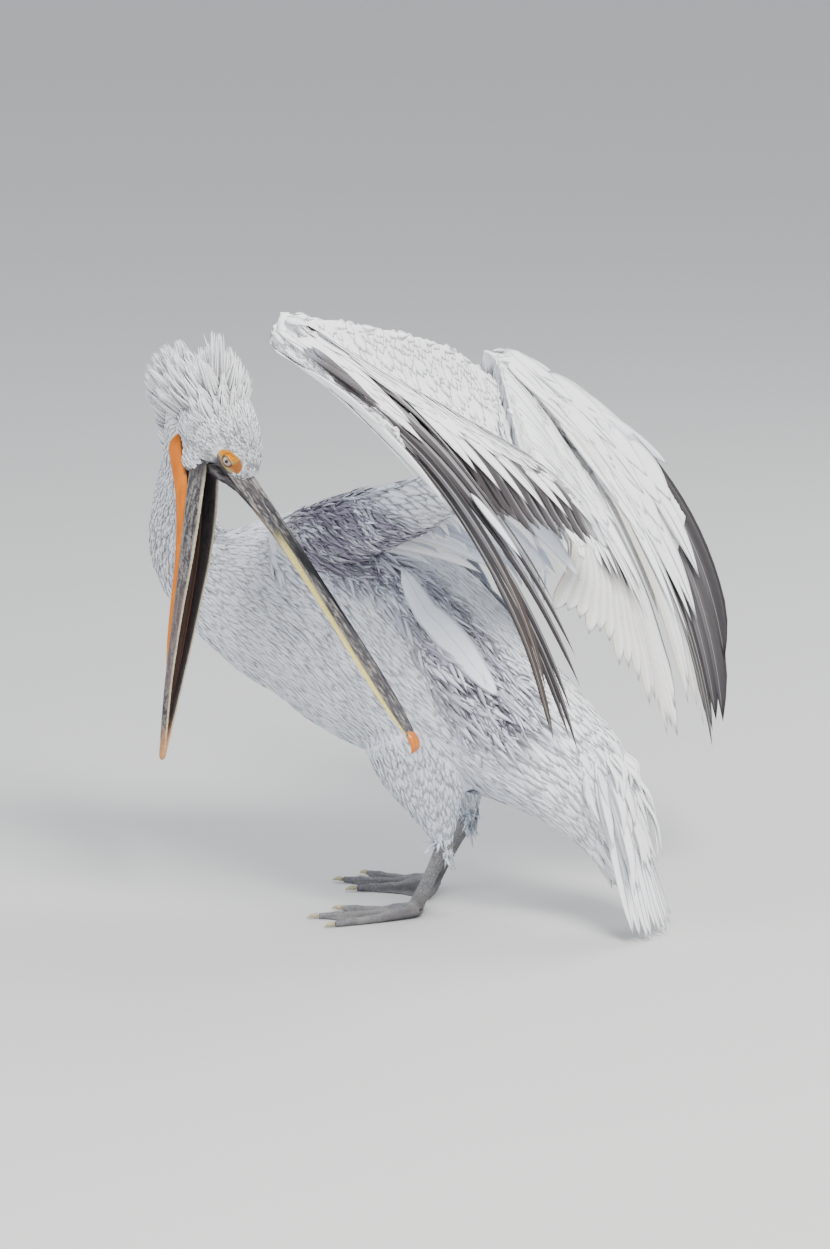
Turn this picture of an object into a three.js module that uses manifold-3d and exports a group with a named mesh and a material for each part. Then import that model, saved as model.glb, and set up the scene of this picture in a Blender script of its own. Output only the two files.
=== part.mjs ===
// Dalmatian pelican, life size, standing with both wings lifted and the head turned back over
// its left side. Millimetres, +Z up, the floor at z = 0, the breast towards -Y and its left at +X.

import * as THREE from 'three';
import { mergeVertices } from 'three/addons/utils/BufferGeometryUtils.js';
import Module from 'manifold-3d';

const wasm = await Module();
wasm.setup();

// Driving dimensions.
const gap = 0.3;
const originShift = new THREE.Vector3(-35, 13, 0);
const vaneThickness = 3.2;
const culmenLength = 412;
const lowerBillLength = 400;
const eyeRadius = 8.5;
const toeLengths = [60, 106, 130, 118];
const toeRadius = 7.5;
const clawLength = 15;
const webThickness = 3;
const soleTrim = 1.2;
const tailLength = 205;
const tailFeathers = 7;
const armFeathers = 10;
const handFeathers = 8;
const scapularFeathers = 5;
const tailCovertFeathers = 5;

// Helpers for points, curves and profiles.
const point = (x, y, z) => new THREE.Vector3(x, y, z);
const mix = (a, b, t) => a.clone().lerp(b, t);
const unit = (x, y, z) => new THREE.Vector3(x, y, z).normalize();
const smoothCurve = (points) => new THREE.CatmullRomCurve3(points, false, 'centripetal');

// A number that varies smoothly through evenly spaced keys as t goes from 0 to 1.
function profile(...keys) {
  const curve = new THREE.SplineCurve(keys.map((value, i) => new THREE.Vector2(i, value)));
  return (t) => curve.getPoint(THREE.MathUtils.clamp(t, 0, 1)).y;
}

// A quadratic arc from start to end, lifted at its middle by the vector lift.
function arc(start, lift, end, t) {
  const middle = mix(start, end, 0.5).addScaledVector(lift, 2);
  return new THREE.QuadraticBezierCurve3(start, middle, end).getPoint(t);
}

const material = (color, roughness = 0.8, metalness = 0) =>
  new THREE.MeshStandardMaterial({ color, roughness, metalness });

const white = material(0xf1f3f6, 0.85);
const blueWhite = material(0xd5dde8, 0.85);
const mottledGrey = material(0xb4b6bd, 0.85);
const slate = material(0x4b474c, 0.6);
const greyVane = material(0xa9a6a8, 0.6);
const billGrey = material(0x5d5a5b, 0.4);
const nailOrange = material(0xd77a1e, 0.35);
const pouchOrange = material(0xe0650c, 0.5);
const eyePale = material(0xc9c2c0, 0.1);
const footGrey = material(0x6f7074, 0.7);
const clawHorn = material(0xb9a26a, 0.45);

// Closed solids from three.js geometry.
function closed(geometry) {
  geometry.deleteAttribute('normal');
  geometry.deleteAttribute('uv');
  geometry.clearGroups();
  return facingOut(mergeVertices(geometry, 1e-4));
}

function facingOut(geometry) {
  const corners = geometry.getAttribute('position');
  const index = geometry.getIndex();
  const [a, b, c] = [point(0, 0, 0), point(0, 0, 0), point(0, 0, 0)];
  let volume = 0;
  for (let i = 0; i < index.count; i += 3) {
    a.fromBufferAttribute(corners, index.getX(i));
    b.fromBufferAttribute(corners, index.getX(i + 1));
    c.fromBufferAttribute(corners, index.getX(i + 2));
    volume += a.dot(b.cross(c));
  }
  if (volume < 0) {
    for (let i = 0; i < index.count; i += 3) {
      const kept = index.getX(i);
      index.setX(i, index.getX(i + 1));
      index.setX(i + 1, kept);
    }
  }
  return geometry;
}

function remap(geometry, move) {
  const corners = geometry.getAttribute('position');
  for (let i = 0; i < corners.count; i++) {
    const moved = move(corners.getX(i), corners.getY(i), corners.getZ(i));
    corners.setXYZ(i, moved.x, moved.y, moved.z);
  }
  return closed(geometry);
}

// A body swept along a path, with a half width, a half height and a way up that vary along it.
function loft({ path, width, height, up = unit(0, 0, 1), sides, steps, grow = 0 }) {
  const rings = new THREE.CylinderGeometry(1, 1, 1, sides, steps, false);
  return remap(rings, (x, y, z) => {
    const t = y + 0.5;
    const along = path.getTangentAt(t);
    const side = along.clone().cross(up).normalize();
    const top = side.clone().cross(along).normalize();
    return path.getPointAt(t)
      .addScaledVector(side, (width(t) + grow) * x)
      .addScaledVector(top, (height(t) + grow) * z)
      .addScaledVector(along, edgeSide(t) * grow);
  });
}

// Which end of a run from 0 to 1 a value lies at: -1 at the start, 1 at the end, 0 between.
const edgeSide = (s) => (s > 0.999 ? 1 : 0) - (s < 0.001 ? 1 : 0);

// A thin sheet over u and v from 0 to 1, with its thickness laid to both sides of the surface.
// A grown sheet is thicker and runs a little past each edge.
function sheet({ surface, thickness, columns, rows, grow = 0 }) {
  const slab = new THREE.BoxGeometry(1, 1, 1, columns, rows, 1);
  const step = 1e-3;
  return remap(slab, (x, y, z) => {
    const u = x + 0.5;
    const v = y + 0.5;
    const [u0, u1] = [Math.max(u - step, 0), Math.min(u + step, 1)];
    const [v0, v1] = [Math.max(v - step, 0), Math.min(v + step, 1)];
    const across = surface(u1, v).sub(surface(u0, v)).normalize();
    const along = surface(u, v1).sub(surface(u, v0)).normalize();
    const normal = across.clone().cross(along).normalize();
    return surface(u, v)
      .addScaledVector(normal, z * (thickness(u, v) + 2 * grow))
      .addScaledVector(across, edgeSide(u) * grow * 3)
      .addScaledVector(along, edgeSide(v) * grow * 3);
  });
}

function solidOf(geometry) {
  const index = geometry.getIndex();
  return new wasm.Manifold(new wasm.Mesh({
    numProp: 3,
    vertProperties: new Float32Array(geometry.getAttribute('position').array),
    triVerts: new Uint32Array(index.array),
  }));
}

function geometryOf(solid) {
  const { vertProperties, triVerts } = solid.getMesh();
  const geometry = new THREE.BufferGeometry();
  geometry.setAttribute('position', new THREE.BufferAttribute(vertProperties, 3));
  geometry.setIndex(new THREE.BufferAttribute(triVerts, 1));
  return mergeVertices(geometry, 1e-4);
}

// Keeps the largest body that a cut leaves.
function largest(solid) {
  return solid.decompose().sort((a, b) => b.volume() - a.volume())[0];
}

function cut(geometry, ...tools) {
  let solid = solidOf(geometry);
  for (const tool of tools) {
    solid = solid.subtract(solidOf(tool));
  }
  return geometryOf(largest(solid));
}

function join(...pieces) {
  let solid = solidOf(pieces[0]);
  for (const piece of pieces.slice(1)) {
    solid = solid.add(solidOf(piece));
  }
  return geometryOf(largest(solid));
}

// Everything under the floor. Cutting it away leaves a small flat on what stands there.
function underFloor() {
  const box = new THREE.BoxGeometry(1400, 1400, 200);
  box.translate(0, 0, -100);
  return closed(box);
}

const pelican = new THREE.Group();
pelican.position.copy(originShift);

function addPart(name, geometry, look) {
  const mesh = new THREE.Mesh(geometry, look);
  mesh.name = name;
  pelican.add(mesh);
}

// The trunk runs from the breast back and down to the rump.
const trunkPath = smoothCurve([
  point(0, -356, 438),
  point(0, -256, 408),
  point(0, -126, 392),
  point(0, 3, 336),
  point(0, 112, 274),
  point(0, 218, 215),
  point(0, 282, 138),
  point(0, 300, 92),
]);
const trunkWidth = profile(46, 84, 116, 130, 126, 108, 84, 56, 26);
const trunkHeight = profile(44, 100, 136, 152, 144, 118, 98, 76, 30);
const trunk = (grow = 0) => loft({
  path: trunkPath,
  width: trunkWidth,
  height: trunkHeight,
  sides: 18,
  steps: 12,
  grow,
});

// The neck climbs from the breast and leans over to the left to meet the back of the head.
const neckPath = smoothCurve([
  point(0, -306, 384),
  point(2, -330, 430),
  point(10, -336, 480),
  point(30, -326, 534),
  point(64, -304, 592),
  point(102, -284, 646),
  point(144, -254, 688),
  point(178, -228, 702),
]);
const neckWidth = profile(40, 52, 50, 42, 36, 34, 34, 32);
const neckSplit = 0.55;
const neck = (grow = 0) => loft({
  path: neckPath,
  width: neckWidth,
  height: neckWidth,
  up: unit(1, 0, 0.2),
  sides: 12,
  steps: 11,
  grow,
});

// Head axes: forward along the upper bill, up through the crown.
const forward = unit(0.02, 0.601, -0.799);
const crownUp = unit(0.05, 0.797, 0.601);
const rightward = forward.clone().cross(crownUp).normalize();
const nape = point(184, -236, 714);
const billBase = point(190, -150, 598);
const billTip = billBase.clone().addScaledVector(forward, culmenLength);

const headPath = smoothCurve([
  nape,
  mix(nape, billBase, 0.35).addScaledVector(crownUp, 7),
  mix(nape, billBase, 0.7).addScaledVector(crownUp, 9),
  mix(nape, billBase, 1.0).addScaledVector(crownUp, -2),
]);
const headWidth = profile(22, 42, 46, 43, 34, 23, 15);
const headHeight = profile(26, 50, 56, 52, 43, 33, 19);
const head = (grow = 0) => loft({
  path: headPath,
  width: headWidth,
  height: headHeight,
  up: crownUp,
  sides: 14,
  steps: 8,
  grow,
});

// Shaggy crest: a cap behind the crown whose edge stands out in points.
const crestCentre = point(181, -226, 712);
const crestReach = 78;
const crestHalfWidth = 48;
const crestHalfLength = 62;
const crestPoints = 9;
const crestAim = unit(-0.12, -0.22, 0.97);

function crest() {
  const cap = new THREE.SphereGeometry(1, crestPoints * 2, 4);
  const turn = new THREE.Quaternion().setFromUnitVectors(point(0, 1, 0), crestAim);
  return remap(cap, (x, y, z) => {
    const around = Math.atan2(z, x);
    const edge = Math.sqrt(x * x + z * z);
    const spike = 0.5 + 0.5 * Math.cos(around * crestPoints);
    const reach = y > 0 ? 0.92 + 0.62 * spike * edge * y : 0.7;
    const local = point(x * crestHalfWidth, y * crestReach, z * crestHalfLength).multiplyScalar(reach);
    return local.applyQuaternion(turn).add(crestCentre);
  });
}

// Upper bill: high and narrow at the base, flat and wide before the hooked nail.
const upperBillWidth = profile(15, 16.5, 17, 18, 20, 21.5, 20, 11);
const upperBillHeight = profile(13.5, 10, 7.5, 6, 5.2, 4.8, 4.6, 4);
const upperBillPath = smoothCurve([
  billBase.clone().addScaledVector(crownUp, -4),
  mix(billBase, billTip, 0.5).addScaledVector(crownUp, 2),
  billTip.clone().addScaledVector(forward, -14),
]);
const upperBill = (grow = 0) => loft({
  path: upperBillPath,
  width: upperBillWidth,
  height: upperBillHeight,
  up: crownUp,
  sides: 12,
  steps: 8,
  grow,
});

const nailPath = smoothCurve([
  billTip.clone().addScaledVector(forward, -26).addScaledVector(crownUp, -1),
  billTip.clone().addScaledVector(forward, -8).addScaledVector(crownUp, -1),
  billTip.clone().addScaledVector(forward, 1).addScaledVector(crownUp, -7),
  billTip.clone().addScaledVector(forward, -2).addScaledVector(crownUp, -16),
]);
const nail = (grow = 0) => loft({
  path: nailPath,
  width: profile(9, 10, 7.5, 2.5),
  height: profile(5, 6, 5, 2),
  up: crownUp,
  sides: 8,
  steps: 5,
  grow,
});

// Lower bill: two thin rami that bow apart and meet at the tip, with the pouch drawn up under them.
const lowerBase = point(189, -206, 604);
const lowerForward = unit(-0.01, -0.186, -0.982);
const lowerUp = unit(0.03, 0.982, -0.186);
const lowerRight = lowerForward.clone().cross(lowerUp).normalize();
const ramusSpread = profile(19, 24, 26, 25, 22, 17, 9, 0.5);
const ramusDepth = profile(9, 10, 9.5, 8.5, 7.5, 6.5, 6, 5);
const ramusThickness = profile(3.2, 3.2, 3, 3, 3, 3.4, 4.2, 3.5);

function ramus(side, grow = 0) {
  const points = [];
  for (let i = 0; i <= 10; i++) {
    const t = i / 10;
    points.push(lowerBase.clone()
      .addScaledVector(lowerForward, lowerBillLength * t)
      .addScaledVector(lowerRight, side * ramusSpread(t))
      .addScaledVector(lowerUp, -3 * Math.sin(Math.PI * t)));
  }
  return loft({
    path: smoothCurve(points),
    width: ramusThickness,
    height: ramusDepth,
    up: lowerUp,
    sides: 8,
    steps: 9,
    grow,
  });
}

const pouchStart = -0.13;
const pouchEnd = 0.66;
const pouchDepth = profile(16, 31, 32, 26, 20, 12, 3);

function pouch() {
  const surface = (u, v) => {
    const t = pouchStart + (pouchEnd - pouchStart) * u;
    const swing = Math.PI * (0.04 + 0.92 * v);
    return lowerBase.clone()
      .addScaledVector(lowerForward, lowerBillLength * t)
      .addScaledVector(lowerRight, ramusSpread(t) * Math.cos(swing))
      .addScaledVector(lowerUp, -ramusDepth(t) - 1 - pouchDepth(u) * Math.sin(swing));
  };
  return sheet({ surface, thickness: () => 2.4, columns: 7, rows: 6 });
}

// Eyes stand a little proud of sockets cut into the head.
const eyeForward = 110;
const eyeUp = 4;
const eyeOut = 24;

function eyeAt(side, radius = eyeRadius) {
  const ball = new THREE.SphereGeometry(radius, 10, 6);
  const centre = nape.clone()
    .addScaledVector(forward, eyeForward)
    .addScaledVector(crownUp, eyeUp)
    .addScaledVector(rightward, side * eyeOut);
  return remap(ball, (x, y, z) => point(x, y, z).add(centre));
}

// Legs. Each foot joint sits just above the floor, and the heading is where the middle toe points.
const legs = {
  left: {
    side: 1,
    hip: point(66, 18, 258),
    ankle: point(66, 74, 108),
    footJoint: point(52, 27, 19),
    heading: THREE.MathUtils.degToRad(-62),
  },
  right: {
    side: -1,
    hip: point(-66, 0, 262),
    ankle: point(-84, 40, 110),
    footJoint: point(-98, -16, 19),
    heading: THREE.MathUtils.degToRad(-84),
  },
};

const thigh = (leg, grow = 0) => loft({
  path: smoothCurve([leg.hip, mix(leg.hip, leg.ankle, 0.5).add(point(0, 6, 0)), leg.ankle]),
  width: profile(52, 50, 38, 15),
  height: profile(70, 66, 44, 17),
  up: unit(0, 1, 0.4),
  sides: 12,
  steps: 5,
  grow,
});

const shankTop = (leg) => mix(leg.ankle, leg.footJoint, -0.2);

const shank = (leg, grow = 0) => loft({
  path: smoothCurve([shankTop(leg), mix(leg.ankle, leg.footJoint, 0.5), leg.footJoint]),
  width: profile(9, 8, 6.5, 6.5, 8),
  height: profile(12, 11, 9.5, 9.5, 11),
  up: unit(0, 1, 0.4),
  sides: 8,
  steps: 4,
  grow,
});

// Toe angles from the heading, the hind toe first; all four are joined by web.
const toeAngles = [-98, -24, -1, 21];

function toeTip(leg, toe, extra = 0) {
  const turn = leg.heading + leg.side * THREE.MathUtils.degToRad(toeAngles[toe]);
  const reach = toeLengths[toe] + extra;
  return point(Math.cos(turn) * reach, Math.sin(turn) * reach, 0)
    .add(point(leg.footJoint.x, leg.footJoint.y, toeRadius * 0.6));
}

function foot(leg) {
  const root = leg.footJoint;
  const toes = toeLengths.map((length, toe) => loft({
    path: smoothCurve([
      point(root.x, root.y, root.z * 0.72),
      mix(point(root.x, root.y, toeRadius), toeTip(leg, toe), 0.35),
      toeTip(leg, toe),
    ]),
    width: profile(toeRadius + 2.5, toeRadius, toeRadius * 0.9, toeRadius * 0.6),
    height: profile(toeRadius + 3, toeRadius * 0.9, toeRadius * 0.8, toeRadius * 0.6),
    sides: 6,
    steps: 2,
  }));
  const webEdge = (u) => {
    const place = u * (toeLengths.length - 1);
    const toe = Math.min(Math.floor(place), toeLengths.length - 2);
    const between = place - toe;
    const chord = mix(toeTip(leg, toe, -6), toeTip(leg, toe + 1, -6), between);
    const pull = 0.16 * 4 * between * (1 - between);
    return mix(chord, point(root.x, root.y, chord.z), pull);
  };
  const web = sheet({
    surface: (u, v) => {
      const inner = point(root.x, root.y, toeRadius * 0.6);
      const flat = mix(mix(inner, webEdge(u), 0.06), webEdge(u), v);
      return flat.setZ(webThickness / 2 - soleTrim + 1.5 * (1 - v));
    },
    thickness: () => webThickness,
    columns: 6,
    rows: 1,
  });
  return cut(join(...toes, web), underFloor(), shank(leg, gap));
}

function claw(leg, toe, footPiece) {
  const tip = toeTip(leg, toe);
  const outward = toeTip(leg, toe, 1).sub(tip);
  const moved = footPiece.clone().translate(outward.x * gap, outward.y * gap, 0);
  const length = toe === 0 ? clawLength * 0.8 : clawLength;
  const path = smoothCurve([
    tip.clone().addScaledVector(outward, gap * 1.5),
    tip.clone().addScaledVector(outward, length * 0.6).add(point(0, 0, 0.6)),
    tip.clone().addScaledVector(outward, length).add(point(0, 0, -2.6)),
  ]);
  return cut(loft({
    path,
    width: profile(3.6, 2.6, 0.6),
    height: profile(4, 3, 0.7),
    sides: 6,
    steps: 2,
  }), underFloor(), moved);
}

// Tail: a shallow fan of pointed feathers that reaches the floor.
const tailRoot = point(0, 292, 186);
const tailAim = unit(0, 0.285, -0.958);
const tailBack = unit(0, 0.958, 0.285);
const tailRootHalf = 42;
const tailTipHalf = 64;

// Fan edges: one boundary, shoulder, tip and shoulder column for each feather.
const fingerShape = [1, 0.2, 0, 0.2];

function fingerEnd(u, count, depth) {
  const column = Math.round(u * count * 4);
  return 1 - depth * fingerShape[column % 4];
}

function tailFan({ feathers, length, rootHalf, tipHalf, offset, depth, thickness, grow = 0 }) {
  return sheet({
    surface: (u, v) => {
      const spread = 2 * u - 1;
      const reach = v * fingerEnd(u, feathers, depth);
      const sag = 10 * (1 - spread * spread);
      return tailRoot.clone()
        .addScaledVector(tailAim, length * reach * (1 - 0.05 * spread * spread))
        .addScaledVector(tailBack, sag + offset)
        .add(point(spread * (rootHalf + (tipHalf - rootHalf) * reach), 0, 0));
    },
    thickness: (u, v) => thickness * (1 - 0.5 * v),
    columns: feathers * 4,
    rows: 1,
    grow,
  });
}

const tail = (grow = 0) => tailFan({
  feathers: tailFeathers,
  length: tailLength,
  rootHalf: tailRootHalf,
  tipHalf: tailTipHalf,
  offset: 0,
  depth: 0.1,
  thickness: 7,
  grow,
});

const tailCoverts = () => tailFan({
  feathers: tailCovertFeathers,
  length: 118,
  rootHalf: 36,
  tipHalf: 56,
  offset: 12,
  depth: 0.22,
  thickness: 12,
});

// Wings. Arm and hand each carry a fan of flight feathers; both fans arch backwards and up.
const wings = {
  left: {
    elbow: point(106, 174, 640),
    wrist: point(382, -2, 846),
    armLead: [point(60, 146, 732), point(150, 120, 790), point(250, 80, 826), point(390, -20, 866)],
    armTips: [
      point(14, 284, 514), point(70, 282, 531), point(130, 276, 550),
      point(190, 270, 562), point(235, 250, 583), point(262, 222, 612),
    ],
    armLift: point(6, 20, 22),
    handRoots: [point(366, 20, 830), point(402, -18, 832)],
    handTips: [
      point(244, 290, 492), point(258, 336, 452), point(276, 358, 365),
      point(292, 358, 312), point(306, 342, 306), point(322, 332, 385),
    ],
    handLift: [point(4, 26, 22), point(10, 84, 30)],
    handCover: [0.5, 0.3],
    alulaLift: point(3, 14, 12),
    alulaSide: 0.94,
    armPath: [point(72, -160, 474), point(88, -60, 524), point(102, 60, 572), point(108, 158, 626)],
    scapularTips: [point(34, 84, 476), point(44, 262, 474)],
  },
  right: {
    elbow: point(-40, 180, 525),
    wrist: point(-302, -28, 692),
    armLead: [point(0, 156, 606), point(-90, 96, 668), point(-190, 32, 712), point(-306, -44, 706)],
    armTips: [
      point(10, 196, 432), point(-22, 240, 394), point(-62, 272, 356),
      point(-104, 298, 310), point(-136, 306, 270), point(-172, 300, 296),
    ],
    armLift: point(-6, 26, 20),
    handRoots: [point(-302, -16, 688), point(-322, -18, 700)],
    handTips: [
      point(-182, 306, 284), point(-202, 318, 256), point(-232, 322, 220),
      point(-258, 324, 203), point(-280, 326, 250), point(-296, 326, 318),
    ],
    handLift: [point(-10, 34, 24), point(-20, 62, 34)],
    handCover: [0.62, 0.62],
    alulaLift: point(-5, 14, 10),
    alulaSide: 0.8,
    armPath: [point(-72, -160, 462), point(-84, -60, 498), point(-72, 60, 524), point(-44, 160, 526)],
    scapularTips: [point(-34, 84, 476), point(-22, 176, 418)],
  },
};
const armCover = 0.66;
const armEnd = 0.985;
const seam = 0.004;
const fleshThickness = 35;
const fleshReach = 0.22;
const upperArmWidth = profile(34, 34, 30, 24);
const upperArmHeight = profile(52, 50, 40, 30);

const upperArm = (wing, grow = 0) => loft({
  path: smoothCurve(wing.armPath),
  width: upperArmWidth,
  height: upperArmHeight,
  sides: 12,
  steps: 6,
  grow,
});

// Scapulars hang from the upper arm over the back.
const scapularLift = point(0, 8, 16);
const scapulars = (wing) => sheet({
  surface: (u, v) => arc(
    smoothCurve(wing.armPath).getPoint(0.2 + 0.74 * u),
    scapularLift,
    mix(wing.scapularTips[0], wing.scapularTips[1], u),
    v * fingerEnd(u, scapularFeathers, 0.12),
  ),
  thickness: (u, v) => 12 - 8 * v,
  columns: scapularFeathers * 4,
  rows: 1,
});

// A place on the arm fan: v below 0 lies in front of the bone, v from 0 to 1 runs to the tips.
function armPlace(wing, u, v) {
  const bone = mix(wing.elbow, wing.wrist, u);
  if (v < 0) {
    return mix(bone, smoothCurve(wing.armLead).getPoint(u), -v);
  }
  return arc(bone, wing.armLift, smoothCurve(wing.armTips).getPoint(u), v);
}

// Thick over the bone and thinning to feathers on both sides.
const armThickness = (v) => 9 + (fleshThickness - 9) * Math.exp(-((v / fleshReach) ** 2));

const foreArm = (wing, grow = 0) => sheet({
  surface: (u, v) => armPlace(wing, u * armEnd, -1 + (1 + armCover) * v),
  thickness: (u, v) => armThickness(-1 + (1 + armCover) * v) * (1 - 0.35 * u),
  columns: 8,
  rows: 7,
  grow,
});

const secondaries = (wing) => sheet({
  surface: (u, v) => {
    const end = fingerEnd(u, armFeathers, 0.13);
    return armPlace(wing, u * armEnd, armCover + seam + (end - armCover - seam) * v);
  },
  thickness: (u, v) => vaneThickness * (1.5 - 0.5 * v),
  columns: armFeathers * 4,
  rows: 1,
});

// A place on the hand fan, from the inner side at u = 0 to the leading edge at u = 1.
function handPlace(wing, u, v) {
  const root = mix(wing.handRoots[0], wing.handRoots[1], u);
  const lift = mix(wing.handLift[0], wing.handLift[1], u);
  return arc(root, lift, smoothCurve(wing.handTips).getPoint(u), v);
}

const handCover = (wing, u) => THREE.MathUtils.lerp(wing.handCover[0], wing.handCover[1], u);

const hand = (wing, grow = 0) => sheet({
  surface: (u, v) => handPlace(wing, u, v * handCover(wing, u)),
  thickness: (u, v) => 30 - 22 * Math.sqrt(v),
  columns: 6,
  rows: 5,
  grow,
});

// The alula lies along the leading edge just beyond the wrist.
function alula(wing) {
  const start = handPlace(wing, wing.alulaSide, 0.07).add(wing.alulaLift);
  const end = handPlace(wing, wing.alulaSide, 0.26).add(wing.alulaLift);
  return loft({
    path: smoothCurve([start, mix(start, end, 0.5).add(point(0, 3, 3)), end]),
    width: profile(5, 11, 10, 2.5),
    height: profile(2, 2.5, 2.5, 1.5),
    up: wing.alulaLift.clone().normalize(),
    sides: 8,
    steps: 4,
  });
}

const primaries = (wing) => sheet({
  surface: (u, v) => {
    const start = handCover(wing, u) + 3 * seam;
    const end = fingerEnd(u, handFeathers, 0.16);
    return handPlace(wing, u, start + (end - start) * v);
  },
  thickness: (u, v) => vaneThickness * (1.4 - 0.5 * v),
  columns: handFeathers * 4,
  rows: 2,
});

// The side of a cutting plane that is taken away, as a large box turned to face along a direction.
function beyond(place, facing) {
  const box = new THREE.BoxGeometry(900, 900, 900);
  box.translate(0, 0, 450 - gap / 2);
  box.applyQuaternion(new THREE.Quaternion().setFromUnitVectors(point(0, 0, 1), facing));
  box.translate(place.x, place.y, place.z);
  return closed(box);
}

addPart('trunk', trunk(), blueWhite);

const splitPlace = neckPath.getPointAt(neckSplit);
const splitFacing = neckPath.getTangentAt(neckSplit);
addPart('neck_lower', cut(neck(), trunk(gap), beyond(splitPlace, splitFacing)), mottledGrey);
addPart(
  'neck_upper',
  cut(neck(), head(gap), beyond(splitPlace, splitFacing.clone().negate())),
  blueWhite,
);
addPart('head', cut(
  head(),
  upperBill(gap),
  ramus(1, gap),
  ramus(-1, gap),
  eyeAt(1, eyeRadius + gap),
  eyeAt(-1, eyeRadius + gap),
), mottledGrey);
addPart('crest', cut(crest(), head(gap), neck(gap)), white);
addPart('upper_bill', cut(upperBill(), nail(gap)), billGrey);
addPart('bill_nail', nail(), nailOrange);
addPart('lower_bill', cut(join(ramus(1), ramus(-1)), upperBill(gap)), billGrey);
addPart('pouch', cut(pouch(), head(gap), ramus(1, gap), ramus(-1, gap), neck(gap)), pouchOrange);
addPart('eye_left', eyeAt(-1), eyePale);
addPart('eye_right', eyeAt(1), eyePale);

for (const [name, leg] of Object.entries(legs)) {
  addPart(`thigh_${name}`, cut(thigh(leg), trunk(gap)), white);
  addPart(`shank_${name}`, cut(shank(leg), thigh(leg, gap)), footGrey);
  const footPiece = foot(leg);
  addPart(`foot_${name}`, footPiece, footGrey);
  toeLengths.forEach((length, toe) => {
    addPart(`claw_${name}_${toe + 1}`, claw(leg, toe, footPiece), clawHorn);
  });
}

addPart('tail', cut(tail(), trunk(gap), underFloor()), white);
addPart('tail_coverts', cut(tailCoverts(), trunk(gap), tail(gap)), white);

for (const [name, wing] of Object.entries(wings)) {
  const body = [trunk(gap), neck(gap)];
  addPart(`upper_arm_${name}`, cut(upperArm(wing), ...body), blueWhite);
  addPart(
    `scapulars_${name}`,
    cut(scapulars(wing), upperArm(wing, gap), foreArm(wing, gap), ...body),
    white,
  );
  addPart(`fore_arm_${name}`, cut(foreArm(wing), upperArm(wing, gap), ...body), white);
  addPart(`secondaries_${name}`, cut(secondaries(wing), ...body), greyVane);
  addPart(`hand_${name}`, cut(hand(wing), foreArm(wing, gap)), white);
  addPart(`primaries_${name}`, primaries(wing), slate);
  addPart(`alula_${name}`, cut(alula(wing), hand(wing, gap), foreArm(wing, gap)), slate);
}

export default pelican;
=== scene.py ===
import math

import bpy
import numpy as np
from mathutils import Matrix, Vector, noise
from mathutils.bvhtree import BVHTree


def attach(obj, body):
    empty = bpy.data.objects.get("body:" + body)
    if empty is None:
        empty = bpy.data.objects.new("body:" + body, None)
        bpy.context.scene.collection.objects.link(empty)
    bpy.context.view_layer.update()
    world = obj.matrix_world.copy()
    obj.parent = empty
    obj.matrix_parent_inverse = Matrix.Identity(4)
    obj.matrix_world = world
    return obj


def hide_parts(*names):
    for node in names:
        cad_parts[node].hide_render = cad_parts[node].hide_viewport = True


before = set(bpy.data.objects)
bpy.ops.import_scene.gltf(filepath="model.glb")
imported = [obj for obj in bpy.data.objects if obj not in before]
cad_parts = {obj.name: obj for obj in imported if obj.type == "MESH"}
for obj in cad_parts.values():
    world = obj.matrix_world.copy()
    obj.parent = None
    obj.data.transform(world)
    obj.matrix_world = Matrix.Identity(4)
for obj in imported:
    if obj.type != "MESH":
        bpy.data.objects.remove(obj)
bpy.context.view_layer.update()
draw = np.random.default_rng(11)
sides = ("left", "right")
birdOrigin = np.array((-0.035, 0.013, 0.0))


# places, curves and numbers
def at(x, y, z):  # the bird's own millimetres to metres in the frame
    return np.array((x, y, z), float) / 1000 + birdOrigin


def unit(v):
    v = np.asarray(v, float)
    return v / np.maximum(np.linalg.norm(v, axis=-1, keepdims=True), 1e-9)


def mix(a, b, t):
    return a + (b - a) * t


def rise(x, low, high):  # 0 below low, 1 above high, smooth between
    t = np.clip((np.asarray(x, float) - low) / (high - low), 0, 1)
    return t * t * (3 - 2 * t)


def smoothCurve(*places, steps=40):  # through places in the bird's millimetres, read from 0 to 1
    keys = np.array([at(*place) for place in places])
    keys = np.vstack([2 * keys[0] - keys[1], keys, 2 * keys[-1] - keys[-2]])
    runs = []
    for i in range(1, len(keys) - 2):
        p0, p1, p2, p3 = keys[i - 1 : i + 3]
        d0, d1, d2 = (np.linalg.norm(b - a) ** 0.5 for a, b in ((p0, p1), (p1, p2), (p2, p3)))
        m1 = ((p1 - p0) / d0 - (p2 - p0) / (d0 + d1) + (p2 - p1) / d1) * d1
        m2 = ((p2 - p1) / d1 - (p3 - p1) / (d1 + d2) + (p3 - p2) / d2) * d1
        s = np.linspace(0, 1, steps, endpoint=False)[:, None]
        runs.append(p1 + m1 * s + (3 * (p2 - p1) - 2 * m1 - m2) * s**2 + (2 * (p1 - p2) + m1 + m2) * s**3)
    table = np.vstack(runs + [keys[-2]])
    marks = np.linspace(0, 1, len(table))
    return lambda t: np.stack([np.interp(t, marks, table[:, k]) for k in range(3)], axis=-1)


def profile(*keys):  # a smooth value through the keys, read from 0 to 1
    padded = np.array((keys[0], *keys, keys[-1]), float)

    def value(t):
        place = np.clip(np.asarray(t, float), 0, 1) * (len(keys) - 1)
        i = np.minimum(place.astype(int), len(keys) - 2)
        s = place - i
        a, b, c, d = (padded[i + j] for j in range(4))
        return b + 0.5 * s * (c - a + s * (2 * a - 5 * b + 4 * c - d + s * (3 * (b - c) + d - a)))

    return value


def bow(start, control, end, t):
    return (1 - t) ** 2 * start + 2 * t * (1 - t) * control + t**2 * end


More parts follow.
